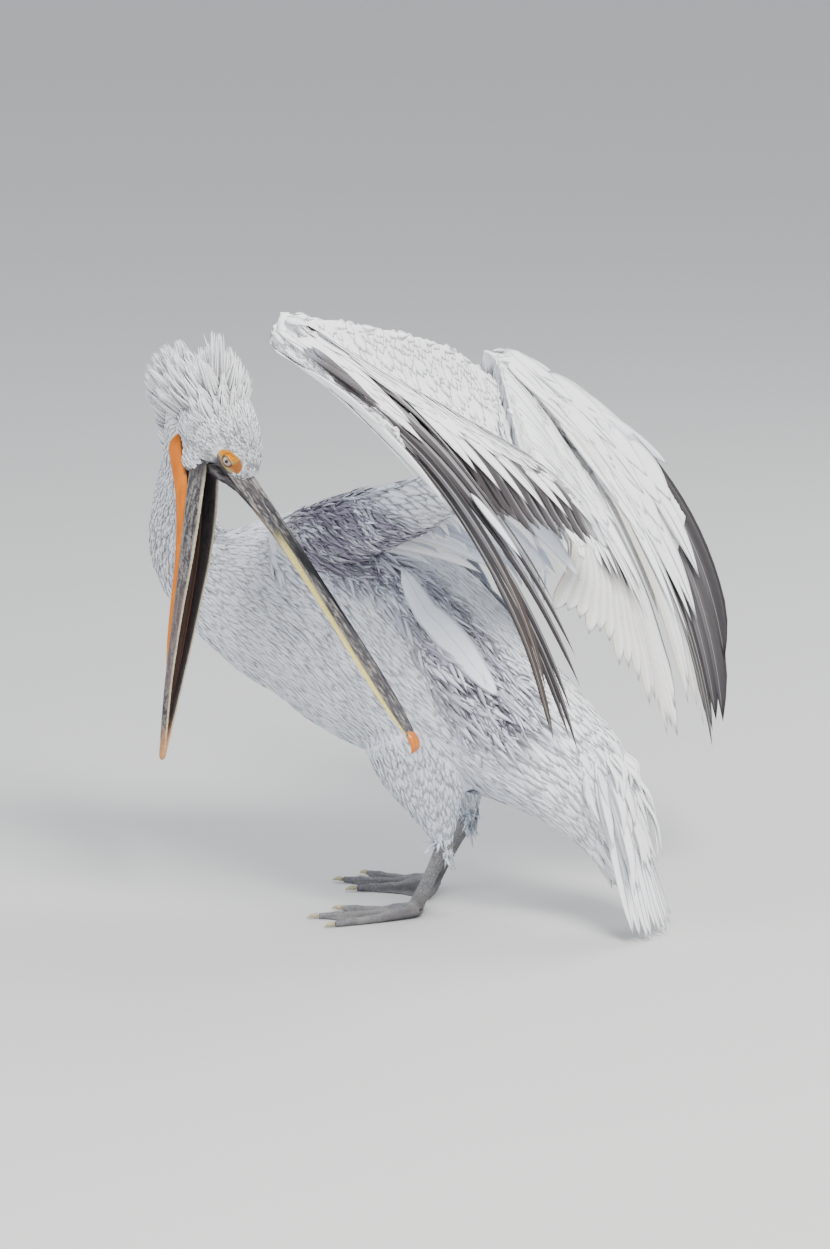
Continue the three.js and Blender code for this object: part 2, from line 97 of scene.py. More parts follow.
def arc(start, lift, end, t):  # passes lift above the middle
    return bow(start, mix(start, end, 0.5) + 2 * lift, end, np.asarray(t, float)[..., None])


def paint(red, green, blue):  # a colour as seen, 0 to 255, made linear
    c = np.array((red, green, blue)) / 255
    return np.where(c <= 0.04045, c / 12.92, ((c + 0.055) / 1.055) ** 2.4)


def layers(base, *coats):  # colours laid one over the other, each by its own share at each point
    for colour, share in coats:
        base = mix(base, colour, share[:, None])
    return base


def grain(points, size, seed=0.0):  # smooth noise, about -1 to 1
    return np.array([noise.noise(Vector(p) / size + Vector((seed, seed, seed))) for p in points])


def mottleNoise(points, size, seed):  # coarse and fine noise, 0 to 1
    coarse = 1.7 * grain(points, size, seed)
    return 0.5 + 0.5 * np.clip(coarse + 0.8 * grain(points, size / 3, seed + 5), -1, 1)


def nearestRow(points, table, most=4000):  # the row of the table that is nearest each point
    parts = np.array_split(points, max(1, len(points) // most))
    return np.concatenate([np.linalg.norm(part[:, None] - table[None], axis=2).argmin(1) for part in parts])


# meshes and objects
def clearSelection():
    if bpy.context.object and bpy.context.object.mode != "OBJECT":
        bpy.ops.object.mode_set(mode="OBJECT")
    bpy.ops.object.select_all(action="DESELECT")


def pick(*pieces):
    clearSelection()
    for piece in pieces:
        piece.select_set(True)
    bpy.context.view_layer.objects.active = pieces[0]


def joined(*pieces):
    pick(*pieces)
    if len(pieces) > 1:
        bpy.ops.object.join()
    return pieces[0]


def editAll(piece, operator, **values):  # one edit mode operator on the whole mesh
    pick(piece)
    bpy.ops.object.mode_set(mode="EDIT")
    bpy.ops.mesh.select_all(action="SELECT")
    operator(**values)
    bpy.ops.object.mode_set(mode="OBJECT")


def facesOut(piece):
    editAll(piece, bpy.ops.mesh.normals_make_consistent, inside=False)


def shadeSmooth(piece):
    pick(piece)
    bpy.ops.object.shade_smooth()


def modify(piece, kind, **values):
    pick(piece)
    modifier = piece.modifiers.new(kind.lower(), kind)
    for name, value in values.items():
        setattr(modifier, name, value)
    bpy.ops.object.modifier_apply(modifier=modifier.name)


def remesh(piece, voxel, rounds):
    modify(piece, "REMESH", mode="VOXEL", voxel_size=voxel)
    modify(piece, "SMOOTH", factor=0.5, iterations=rounds)


def read(rows, what, width=3, kind=float):  # one attribute of all of a mesh's vertices, edges or triangles
    values = np.empty(len(rows) * width, kind)
    rows.foreach_get(what, values)
    return values.reshape(-1, width)


def coordsOf(piece):
    return read(piece.data.vertices, "co")


def normalsOf(piece):
    return read(piece.data.vertices, "normal")


def setCoords(piece, co):
    piece.data.vertices.foreach_set("co", np.asarray(co, float).ravel())
    piece.data.update()


def setTone(piece, tone):
    layer = piece.data.color_attributes.get("tone")
    if layer is None:
        layer = piece.data.color_attributes.new("tone", "FLOAT_COLOR", "POINT")
    layer.data.foreach_set("color", np.hstack([tone, np.ones((len(tone), 1))]).ravel())


def meshPiece(name, vertices, faceSets, tone=None, uv=None, vane=None):  # faceSets: arrays of faces
    mesh = bpy.data.meshes.new(name)
    mesh.vertices.add(len(vertices))
    mesh.vertices.foreach_set("co", vertices.ravel())
    loops = np.concatenate([f.ravel() for f in faceSets])
    totals = np.concatenate([np.full(len(f), f.shape[1]) for f in faceSets])
    mesh.loops.add(len(loops))
    mesh.loops.foreach_set("vertex_index", loops)
    mesh.polygons.add(len(totals))
    mesh.polygons.foreach_set("loop_start", np.concatenate([[0], np.cumsum(totals)[:-1]]))
    mesh.polygons.foreach_set("use_smooth", np.ones(len(totals), bool))
    for label, map2d in (("OFBake", uv), ("vane", vane)):
        if map2d is not None:
            mesh.uv_layers.new(name=label).data.foreach_set("uv", map2d[loops].ravel())
    mesh.update(calc_edges=True)
    piece = bpy.data.objects.new(name, mesh)
    bpy.context.scene.collection.objects.link(piece)
    if tone is not None:
        setTone(piece, tone)
    return piece


def gridFaces(rows, columns, closed=False):  # quads between the rows of a grid of points
    i, j = np.meshgrid(np.arange(rows - 1), np.arange(columns - (not closed)), indexing="ij")
    after = (j + 1) % columns
    corners = [i * columns + j, i * columns + after, (i + 1) * columns + after, (i + 1) * columns + j]
    return np.stack(corners, axis=-1).reshape(-1, 4)


# the last thing said of a piece: its material, its body and the nodes it stands for
def settle(piece, slot, look, *nodes):
    piece.data.materials.clear()
    piece.data.materials.append(look)
    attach(piece, "root")
    if nodes:
        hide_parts(*nodes)


def nodeCopy(name, *nodes):
    copies = [bpy.data.objects.new(name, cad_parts[node].data.copy()) for node in nodes]
    for piece in copies:
        bpy.context.scene.collection.objects.link(piece)
    piece = joined(*copies)
    editAll(piece, bpy.ops.mesh.remove_doubles, threshold=1e-5)
    return piece


# materials
class Look:  # a short way to write a node material
    def __init__(self, name, **sockets):
        self.material = bpy.data.materials.new(name)
        self.material.use_nodes = True
        self.tree = self.material.node_tree
        self.base = self.tree.nodes["Principled BSDF"]
        for socket, value in sockets.items():
            self.put(self.base, socket, value)

    def put(self, node, socket, value):  # the socket by number or by name, its spaces written as _
        socket = node.inputs[socket if isinstance(socket, int) else socket.replace("_", " ")]
        if isinstance(value, bpy.types.NodeSocket):
            self.tree.links.new(value, socket)
        else:
            socket.default_value = value

    def node(self, kind, settings=None, **links):
        made = self.tree.nodes.new("ShaderNode" + kind)
        for name, value in (settings or {}).items():
            setattr(made, name, value)
        for name, value in links.items():
            self.put(made, name, value)
        return made

    def math(self, operation, a, b=0.0):
        made = self.node("Math", {"operation": operation})
        self.put(made, 0, a)
        self.put(made, 1, b)
        return made.outputs[0]

    def ramp(self, value, low, high, toLow=0.0, toHigh=1.0):
        return self.node("MapRange", {"interpolation_type": "SMOOTHSTEP"}, Value=value, From_Min=low,
                         From_Max=high, To_Min=toLow, To_Max=toHigh).outputs[0]

    def blend(self, amount, a, b, kind="MIX"):
        made = self.node("Mix", {"data_type": "RGBA", "blend_type": kind})
        for place, value in ((0, amount), (6, a), (7, b)):
            self.put(made, place, (*value, 1) if isinstance(value, tuple) else value)
        return made.outputs[2]

    def place(self):
        return self.node("TexCoord").outputs["Object"]

    def speckle(self, scale, detail=3.0, roughness=0.5, stretch=(1, 1, 1)):
        mapped = self.node("Mapping", Vector=self.place(), Scale=stretch).outputs[0]
        made = self.node("TexNoise", Vector=mapped, Scale=scale, Detail=detail, Roughness=roughness)
        return made.outputs["Fac"]

    def tone(self):
        return self.node("Attribute", {"attribute_name": "tone"}).outputs["Color"]

    def bump(self, height, strength, distance):
        made = self.node("Bump", Height=height, Strength=strength, Distance=distance)
        self.put(self.base, "Normal", made.outputs[0])
        return self.material

    def colour(self, value):
        self.put(self.base, "Base Color", value)

    # the piece's own tone, tinted by a noise that also gives the relief, unless a height does
    def finish(self, fine, low, high, toLow, toHigh, tint, strength, distance, height=None):
        self.colour(self.blend(self.ramp(fine, low, high, toLow, toHigh), self.tone(), tint, "MULTIPLY"))
        return self.bump(height or fine, strength, distance)


featherLook = {"tint": (0.50, 0.53, 0.60), "hairs": 9.0, "length": 1.2, "drift": 25.0, "relief": 0.0003}
vaneTexture = {"barbs": 900.0, "slant": 0.12, "waves": 150.0, "unrest": 9.0, "tint": (0.42, 0.41, 0.42)}


def plumeLook(name, streak=0.20, relief=0.25):  # fine lengthwise hairs, from the vane map
    look = Look(name, Roughness=0.75, Sheen_Weight=0.25, Sheen_Roughness=0.5, Specular_IOR_Level=0.2)
    place = look.node("SeparateXYZ", Vector=look.node("UVMap", {"uv_map": "vane"}).outputs[0]).outputs
    spot = look.node("SeparateXYZ", Vector=look.place()).outputs
    drift = [look.math("MULTIPLY", axis, featherLook["drift"]) for axis in spot]
    across = look.math("ADD", look.math("MULTIPLY", place[0], featherLook["hairs"]), drift[0])
    along = look.math("ADD", look.math("MULTIPLY", place[1], featherLook["length"]), drift[1])
    hair = look.node("CombineXYZ", X=across, Y=along, Z=drift[2]).outputs[0]
    fine = look.node("TexNoise", Vector=hair, Scale=1.0, Detail=2.0).outputs["Fac"]
    return look.finish(fine, 0.38, 0.62, streak, 0.0, featherLook["tint"], relief, featherLook["relief"])


def vaneLook(name):  # oblique barbs on both sides of the shaft, from the vane map
    look = Look(name, Roughness=0.5, Sheen_Weight=0.1, Specular_IOR_Level=0.35)
    place = look.node("UVMap", {"uv_map": "vane"}).outputs[0]
    parts = look.node("SeparateXYZ", Vector=place).outputs
    across = look.math("ABSOLUTE", look.math("SUBTRACT", parts[0], 0.5))
    slant = look.math("SUBTRACT", parts[1], look.math("MULTIPLY", across, vaneTexture["slant"]))
    barbs = look.math("SINE", look.math("MULTIPLY", slant, vaneTexture["barbs"]))
    wide = look.math("MULTIPLY", look.speckle(60.0, 3.0, 0.6), vaneTexture["unrest"])
    waves = look.math("SINE", look.math("ADD", look.math("MULTIPLY", slant, vaneTexture["waves"]), wide))
    streak = look.math("ADD", look.math("MULTIPLY", barbs, 0.5), look.math("MULTIPLY", waves, 0.5))
    return look.finish(streak, -1.0, 1.0, 0.16, 0.0, vaneTexture["tint"], 0.25, 0.0003)


plume = plumeLook("plume")
whitePlume = plumeLook("whitePlume", 0.07, 0.15)
downPlume = plumeLook("downPlume", 0.3, 0.4)
vane = vaneLook("vane")

# colours of the coat; the bluish white is the pale plumage with painted shade, a blue tint that stands for
# the sky-lit shade the body lies in, and white is the same plumage as if in the sun
colours = {
    "white": paint(247, 248, 250), "blueWhite": paint(226, 232, 242), "shade": paint(186, 194, 210),
    "grey": paint(158, 160, 170), "darkGrey": paint(92, 89, 102), "purple": paint(150, 143, 164),
    "slate": paint(84, 78, 80), "brown": paint(122, 104, 92), "black": paint(36, 34, 38),
    "ivory": paint(222, 216, 204),
}

# the bird's own lines, as the solids have them
trunkCurve = smoothCurve((0, -356, 438), (0, -256, 408), (0, -126, 392), (0, 3, 336), (0, 112, 274),
                         (0, 218, 215), (0, 282, 138), (0, 300, 92))
neckCurve = smoothCurve((0, -306, 384), (2, -330, 430), (10, -336, 480), (30, -326, 534), (64, -304, 592),
                        (102, -284, 646), (144, -254, 688), (178, -228, 702))
forward = unit((0.02, 0.601, -0.799))
crownUp = unit((0.05, 0.797, 0.601))
rightward = unit(np.cross(forward, crownUp))
nape = at(184, -236, 714)
billBase, culmenLength = at(190, -150, 598), 0.412
lowerBase, lowerLength = at(189, -206, 604), 0.4
lowerForward = unit((-0.01, -0.186, -0.982))
lowerUp = unit((0.03, 0.982, -0.186))
lowerRight = unit(np.cross(lowerForward, lowerUp))
sideSign = {"left": -1, "right": 1}
eyeCentre = {side: nape + 0.110 * forward + 0.004 * crownUp + sign * 0.024 * rightward
             for side, sign in sideSign.items()}
eyeRadius = 0.0085

legs = {
    "left": {"joint": at(52, 27, 19), "heading": -62, "sign": 1},
    "right": {"joint": at(-98, -16, 19), "heading": -84, "sign": -1},
    "toes": {-98: 0.060, -24: 0.106, -1: 0.130, 21: 0.118},  # angle from the heading, and length
}

wings = {
    "left": {
        "up": 1, "elbow": at(106, 174, 640), "wrist": at(382, -2, 846),
        "armLead": smoothCurve((60, 146, 732), (150, 120, 790), (250, 80, 826), (390, -20, 866)),
        "armTips": smoothCurve((14, 284, 514), (70, 282, 531), (130, 276, 550), (190, 270, 562),
                               (235, 250, 583), (262, 222, 612)),
        "armLift": np.array((0.006, 0.020, 0.022)),
        "handRoots": (at(366, 20, 830), at(402, -18, 832)),
        "handTips": smoothCurve((244, 290, 492), (258, 336, 452), (276, 358, 365), (292, 358, 312),
                                (306, 342, 306), (322, 332, 385)),
        "handLift": (np.array((0.004, 0.026, 0.022)), np.array((0.010, 0.084, 0.030))),
        "alulaLift": np.array((0.003, 0.014, 0.012)), "alulaSide": 0.94,
        "armPath": smoothCurve((72, -160, 474), (88, -60, 524), (102, 60, 572), (108, 158, 626)),
        "scapularTips": (at(34, 84, 476), at(44, 262, 474)),
    },
    "right": {
        "up": -1, "elbow": at(-40, 180, 525), "wrist": at(-302, -28, 692),
        "armLead": smoothCurve((0, 156, 606), (-90, 96, 668), (-190, 32, 712), (-306, -44, 706)),
        "armTips": smoothCurve((10, 196, 432), (-22, 240, 394), (-62, 272, 356), (-104, 298, 310),
                               (-136, 306, 270), (-172, 300, 296)),
        "armLift": np.array((-0.006, 0.026, 0.020)),
        "handRoots": (at(-302, -16, 688), at(-322, -18, 700)),
        "handTips": smoothCurve((-182, 306, 284), (-202, 318, 256), (-232, 322, 220), (-258, 324, 203),
                                (-280, 326, 250), (-296, 326, 318)),
        "handLift": (np.array((-0.010, 0.034, 0.024)), np.array((-0.020, 0.062, 0.034))),
        "alulaLift": np.array((-0.005, 0.014, 0.010)), "alulaSide": 0.8,
        "armPath": smoothCurve((-72, -160, 462), (-84, -60, 498), (-72, 60, 524), (-44, 160, 526)),
        "scapularTips": (at(-34, 84, 476), at(-22, 176, 418)),
    },
}


def armPlace(wing, u, v):  # u from elbow to wrist, v from the bone to the tips, below 0 to the front edge
    u, v = np.broadcast_arrays(np.asarray(u, float), np.asarray(v, float))
    bone = mix(wing["elbow"], wing["wrist"], u[..., None])
    lead = mix(bone, wing["armLead"](u), -v[..., None])
    return np.where(v[..., None] < 0, lead, arc(bone, wing["armLift"], wing["armTips"](u), v))


def handPlace(wing, u, v):
    u, v = np.broadcast_arrays(np.asarray(u, float), np.asarray(v, float))
    root, lift = (mix(*wing[key], u[..., None]) for key in ("handRoots", "handLift"))
    return arc(root, lift, wing["handTips"](u), v)


def armHalf(u, v):  # half the thickness of the fore arm's solid
    return 0.0005 * (9 + 26 * np.exp(-((v / 0.22) ** 2))) * (1 - 0.35 * u)


def handHalf(u, v):
    return 0.0005 * (30 - 22 * np.sqrt(np.clip(v, 0, 1)))


def sheetUp(place, wing, u, v, step=1e-3):  # the way the wing's upper side faces
    across = place(wing, u + step, v) - place(wing, u - step, v)
    along = place(wing, u, v + step) - place(wing, u, v - step)
    return wing["up"] * unit(np.cross(across, along))


def alongCurve(curve, points):  # the curve's direction and share at the place nearest each point
    marks = np.linspace(0, 1, 80)
    table = curve(marks)
    nearest = nearestRow(points, table)
    return unit(np.gradient(table, axis=0))[nearest], marks[nearest]


# forms drawn out ring by ring
def frameMatrix(place, right, up, along):
    matrix = Matrix.Identity(4)
    for k, axis in enumerate((right, up, along, place)):
        matrix.col[k][:3] = axis
    return matrix


# a closed form extruded ring by ring along Z; a ring is along, x, y, half width and half height, in metres
def ringForm(name, rings, count, matrix, rounds=2):
    clearSelection()
    along, x, y, half, tall = rings[0]
    bpy.ops.mesh.primitive_circle_add(vertices=count, radius=1, fill_type="NGON", location=(x, y, along))
    piece = bpy.context.object
    piece.name = name
    piece.scale = (half, tall, 1)
    bpy.ops.object.transform_apply(location=True, rotation=False, scale=True)
    bpy.ops.object.mode_set(mode="EDIT")
    bpy.ops.mesh.select_all(action="SELECT")
    for last, ring in zip(rings, rings[1:]):
        move = (ring[1] - last[1], ring[2] - last[2], ring[0] - last[0])
        grow = (ring[3] / last[3], ring[4] / last[4], 1)
        bpy.ops.mesh.extrude_region_move(TRANSFORM_OT_translate={"value": move})
        bpy.ops.transform.resize(value=grow, center_override=(ring[1], ring[2], ring[0]))
    bpy.ops.object.mode_set(mode="OBJECT")
    facesOut(piece)
    modify(piece, "SUBSURF", levels=rounds, render_levels=rounds)
    piece.matrix_world = matrix
    pick(piece)
    bpy.ops.object.transform_apply(location=True, rotation=True, scale=True)
    if matrix.to_3x3().determinant() < 0:
        facesOut(piece)
    shadeSmooth(piece)
    return piece


# skin
skinShape = {
    "voxel": 0.005, "smoothRounds": 5, "flowRounds": 30, "depthRounds": 6, "drop": 0.35,
    "jaw": (0, -0.022, -0.036), "jawSize": (0.021, 0.022, 0.030),
    "cheek": (0.0175, -0.019, -0.020), "cheekSize": (0.0110, 0.019, 0.024),
    "wristSize": (0.0165, 0.0165, 0.028), "wristShift": 0.014,
    "depth": {"trunk": 0.007, "neck": 0.005, "head": 0.0035, "thigh": 0.006, "upper": 0.006, "fore": 0.002,
              "hand": 0.002},
}
fleshNodes = ["trunk", "neck_lower", "neck_upper", "head"]
for sideName in sides:
    fleshNodes += [f"{part}_{sideName}" for part in ("thigh", "upper_arm", "fore_arm", "hand")]
regionNames = list(skinShape["depth"])


def nearestRegion(points):  # the region of the nearest flesh node, and whether it is on the left
    vertices, faces, owner = [], [], []
    for node in fleshNodes:
        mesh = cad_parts[node].data
        start = len(vertices)
        vertices += [v.co.copy() for v in mesh.vertices]
        faces += [[start + i for i in face.vertices] for face in mesh.polygons]
        owner += [(regionNames.index(node.split("_")[0]), node.endswith("left"))] * len(mesh.polygons)
    tree = BVHTree.FromPolygons(vertices, faces)
    found = np.array([owner[tree.find_nearest(p)[2]] for p in points])
    return found[:, 0], found[:, 1].astype(bool)


def spreadOver(piece, values, rounds):  # evens out a value along the mesh's edges
    a, b = read(piece.data.edges, "vertices", 2, int).T
    count = np.bincount(np.concatenate([a, b]), minlength=len(values)).astype(float)
    for _ in range(rounds):
        total = [np.bincount(a, column[b], len(values)) + np.bincount(b, column[a], len(values))
                 for column in values.T]
        values = 0.4 * values + 0.6 * np.stack(total, axis=1) / count[:, None]
    return values


def roundFlesh(place, right, up, along, size):
    clearSelection()
    bpy.ops.mesh.primitive_uv_sphere_add(segments=32, ring_count=20, radius=1)
    piece = bpy.context.object
    piece.matrix_world = frameMatrix(place, right, up, along) @ Matrix.Diagonal((*size, 1))
    bpy.ops.object.transform_apply(location=True, rotation=True, scale=True)
    return piece


def addedFlesh():  # the cheeks down to the roots of the lower bill, and a round wrist on each wing
    made = []
    x, y, z = skinShape["cheek"]
    cheeks = [((sign * x, y, z), skinShape["cheekSize"]) for sign in (1, -1)]
    for (x, y, z), size in [(skinShape["jaw"], skinShape["jawSize"])] + cheeks:
        place = lowerBase + lowerRight * x + lowerUp * y + lowerForward * z
        made.append(roundFlesh(place, lowerRight, lowerUp, lowerForward, size))
    for wing in wings.values():
        bone = unit(wing["elbow"] - wing["wrist"])
        across = unit(np.cross(bone, (0, 0, 1)))
        place = wing["wrist"] + bone * skinShape["wristShift"]
        made.append(roundFlesh(place, across, np.cross(bone, across), bone, skinShape["wristSize"]))
    return made


def makeSkin():
    flesh = nodeCopy("skin", *fleshNodes)
    piece = joined(flesh, *addedFlesh())
    remesh(piece, skinShape["voxel"], skinShape["smoothRounds"])
    co = coordsOf(piece)
    region, isLeft = nearestRegion(co)
    depth = np.array(list(skinShape["depth"].values()))[region]
    setCoords(piece, co - normalsOf(piece) * spreadOver(piece, depth[:, None], skinShape["depthRounds"]))
    modify(piece, "SMOOTH", factor=0.5, iterations=2)
    shadeSmooth(piece)
    editAll(piece, bpy.ops.uv.smart_project, angle_limit=math.radians(66), island_margin=0.002)
    piece.data.uv_layers[0].name = "OFBake"
    return piece, region, isLeft


def readSurface(piece):
    mesh = piece.data
    mesh.calc_loop_triangles()
    corners, loops = (read(mesh.loop_triangles, what, 3, int) for what in ("vertices", "loops"))
    co = coordsOf(piece)
    uv = read(mesh.uv_layers["OFBake"].data, "uv", 2)[loops]
    tree = BVHTree.FromPolygons(co.tolist(), corners.tolist())
    return {"co": co, "normal": normalsOf(piece), "corners": corners, "uv": uv, "tree": tree}


skin, skinRegion, skinLeft = makeSkin()
print("skin", len(skin.data.vertices), "points")
surface = readSurface(skin)
skinPoint = surface["co"]
regionIs = {name: skinRegion == number for number, name in enumerate(regionNames)}


def wingRun(wing, part):  # the way the feathers of that part of the wing lie
    share = np.linspace(0, 1, 9)
    if part == "fore":  # and a little outwards, which keeps the feathers on the leading edge in line
        rear = unit(np.mean(wing["armTips"](share), axis=0) - mix(wing["elbow"], wing["wrist"], 0.5))
        return unit(rear + 0.35 * unit(wing["wrist"] - wing["elbow"]))
    return unit(np.mean(wing["handTips"](share), axis=0) - mix(*wing["handRoots"], 0.5))


def flowField():  # the way feathers lie, tip first, at each point of the skin
    flow = np.zeros_like(skinPoint)
    run, share = alongCurve(trunkCurve, skinPoint)
    run[:, 2] -= skinShape["drop"] * rise(share, 0.0, 0.3)
    reach = (skinPoint - nape) @ forward
    onHead = -forward + crownUp * (0.25 * rise(reach, 0.1, 0.02))[:, None]
    ways = {"trunk": run, "neck": -alongCurve(neckCurve, skinPoint)[0], "head": onHead,
            "thigh": np.array((0, 0.25, -1)), "upper": np.array((0, 0.85, -0.35))}
    for part in ("fore", "hand"):
        ways[part] = np.where(skinLeft[:, None], wingRun(wings["left"], part), wingRun(wings["right"], part))
    for name, way in ways.items():
        flow = np.where(regionIs[name][:, None], way, flow)
    flow = spreadOver(skin, unit(flow), skinShape["flowRounds"])
    normal = surface["normal"]
    return unit(flow - normal * np.sum(flow * normal, axis=1, keepdims=True))


def wingShares():  # how far along its part of the wing and across it each of the skin's points is
    shares = np.zeros((2, len(skinPoint)))
    u, v = np.meshgrid(np.linspace(0, 1, 25), np.linspace(-1, 0.7, 48), indexing="ij")
    for name, place in (("fore", armPlace), ("hand", handPlace)):
        for side in sides:
            rows = np.flatnonzero(regionIs[name] & (skinLeft == (side == "left")))
            near = nearestRow(skinPoint[rows], place(wings[side], u, v).reshape(-1, 3), 1500)
            shares[:, rows] = u.ravel()[near], v.ravel()[near]
    return shares


surface["flow"] = flowField()
wingAlong, wingAcross = wingShares()

mottleShape = {
    "line": smoothCurve((0, -95, 520), (0, -15, 508), (0, 62, 452), (0, 105, 385), (0, 142, 316)),
    "inner": 0.036, "outer": 0.076,
}


def sideMottle(points):  # 1 in the mottled down on each side, under the raised wing; and how far along it
    table = mottleShape["line"](np.linspace(0, 1, 40))[:, 1:]
    row = nearestRow(points[:, 1:], table)
    away = np.linalg.norm(points[:, 1:] - table[row], axis=1)
    side = rise(np.abs(points[:, 0] - birdOrigin[0]), 0.03, 0.062)
    return (1 - rise(away, mottleShape["inner"], mottleShape["outer"])) * side, row / 39


def facePlace(points, side):  # forward and up from the eye, in mm, and how far out from the head's middle
    offset = points - eyeCentre[side]
    return offset @ forward * 1000, offset @ crownUp * 1000, (points - nape) @ rightward * sideSign[side]


def gapeShare(points):  # the dark bare skin under the eyes and along the gape
    dark = np.zeros(len(points))
    for side in sides:
        a, b, out = facePlace(points, side)
        zone = rise(a, -17, -10) * (1 - rise(a, 44, 52)) * rise(-b, 8, 12) * (1 - rise(-b, 62, 70))
        dark = np.maximum(dark, zone * (out > -0.001))
    return dark


def coatColour(points):  # the same for the skin and for the feathers over it
    down, share = sideMottle(points)
    x, y, z = ((points - birdOrigin) * 1000).T
    reach, height = (points - nape) @ forward * 1000, (points - nape) @ crownUp * 1000
    onHead = rise(x, 120, 150) * rise(z, 560, 600) * (1 - rise(y, -130, -110))
    lowNeck = (1 - rise(x, 34, 90)) * rise(z, 430, 470) * (1 - rise(z, 580, 660)) * (1 - rise(y, -290, -250))
    streak = mottleNoise(points * (1, 0.45, 1), 0.009, 3.0)
    patches, fine = mottleNoise(points, 0.020, 9.0), mottleNoise(points, 0.008, 14.0)
    blots = rise(mottleNoise(points * (1, 0.8, 0.6), 0.013, 31.0), 0.50, 0.68)
    blots = blots * mix(0.35, 0.95, rise(share, 0.2, 0.6))
    speck = mottleNoise(points, 0.0045, 21.0)
    greyer = onHead * rise(reach, 18, 70) * (1 - rise(height, 34, 60))
    white, blueWhite, darkGrey = (colours[name] for name in ("white", "blueWhite", "darkGrey"))
    mottled = layers(colours["purple"], (blueWhite, rise(fine * 0.5 + patches * 0.6, 0.48, 0.85)),
                     (blueWhite, 0.45 * rise(share, 0.35, 0.6)), (darkGrey, blots))
    # over the bluish white: lighter towards the top and front and white at the rear, painted light as if in
    # the sun; the shade streaks are painted shadows between the feathers
    return layers(
        blueWhite, (white, rise(z * 0.6 - y * 0.4, 60, 220) * 0.4), (colours["shade"], 0.35 * streak),
        (white, 0.75 * rise(y, 120, 190)), (mottled, down), (white, onHead * 0.8),
        (layers(darkGrey, (white, rise(speck, 0.16, 0.5))), greyer * 0.6),
        (layers(darkGrey, (white, rise(speck, 0.25, 0.6))), lowNeck * 0.6),
        (paint(70, 66, 72), gapeShare(points)),
    )


skinLook = Look("skinDown", Roughness=0.8, Sheen_Weight=0.2, Specular_IOR_Level=0.2)
skinLook.finish(skinLook.speckle(300.0, 2.0), 0.3, 0.7, 0.12, 0.0, (0.6, 0.62, 0.68), 0.4, 0.0006)
skinTone = coatColour(skinPoint)
skinTone[regionIs["fore"] | regionIs["hand"]] = colours["white"]
setTone(skin, skinTone * 0.96)
settle(skin, "body_feather", skinLook.material, *fleshNodes)


# places on the skin
def triWeights(places, tri):
    a, b, c = (skinPoint[surface["corners"][tri][:, k]] for k in range(3))
    ab, ac, ap = b - a, c - a, places - a
    d00, d01, d11 = np.sum(ab * ab, 1), np.sum(ab * ac, 1), np.sum(ac * ac, 1)
    d20, d21 = np.sum(ap * ab, 1), np.sum(ap * ac, 1)
    spread = np.maximum(d00 * d11 - d01 * d01, 1e-18)
    wb = (d11 * d20 - d01 * d21) / spread
    wc = (d00 * d21 - d01 * d20) / spread
    return np.clip(np.stack([1 - wb - wc, wb, wc], axis=1), 0, 1)


def onSkin(points):  # the nearest place on the skin, its triangle and the weights of the triangle's corners
    found = [surface["tree"].find_nearest(p) for p in points]
    places, tri = np.array([f[0] for f in found]), np.array([f[2] for f in found])
    return places, tri, triWeights(places, tri)


def skinValue(name, tri, weights):
    return np.sum(surface[name][surface["corners"][tri]] * weights[..., None], axis=1)


def skinUv(tri, weights):
    return np.sum(surface["uv"][tri] * weights[..., None], axis=1)


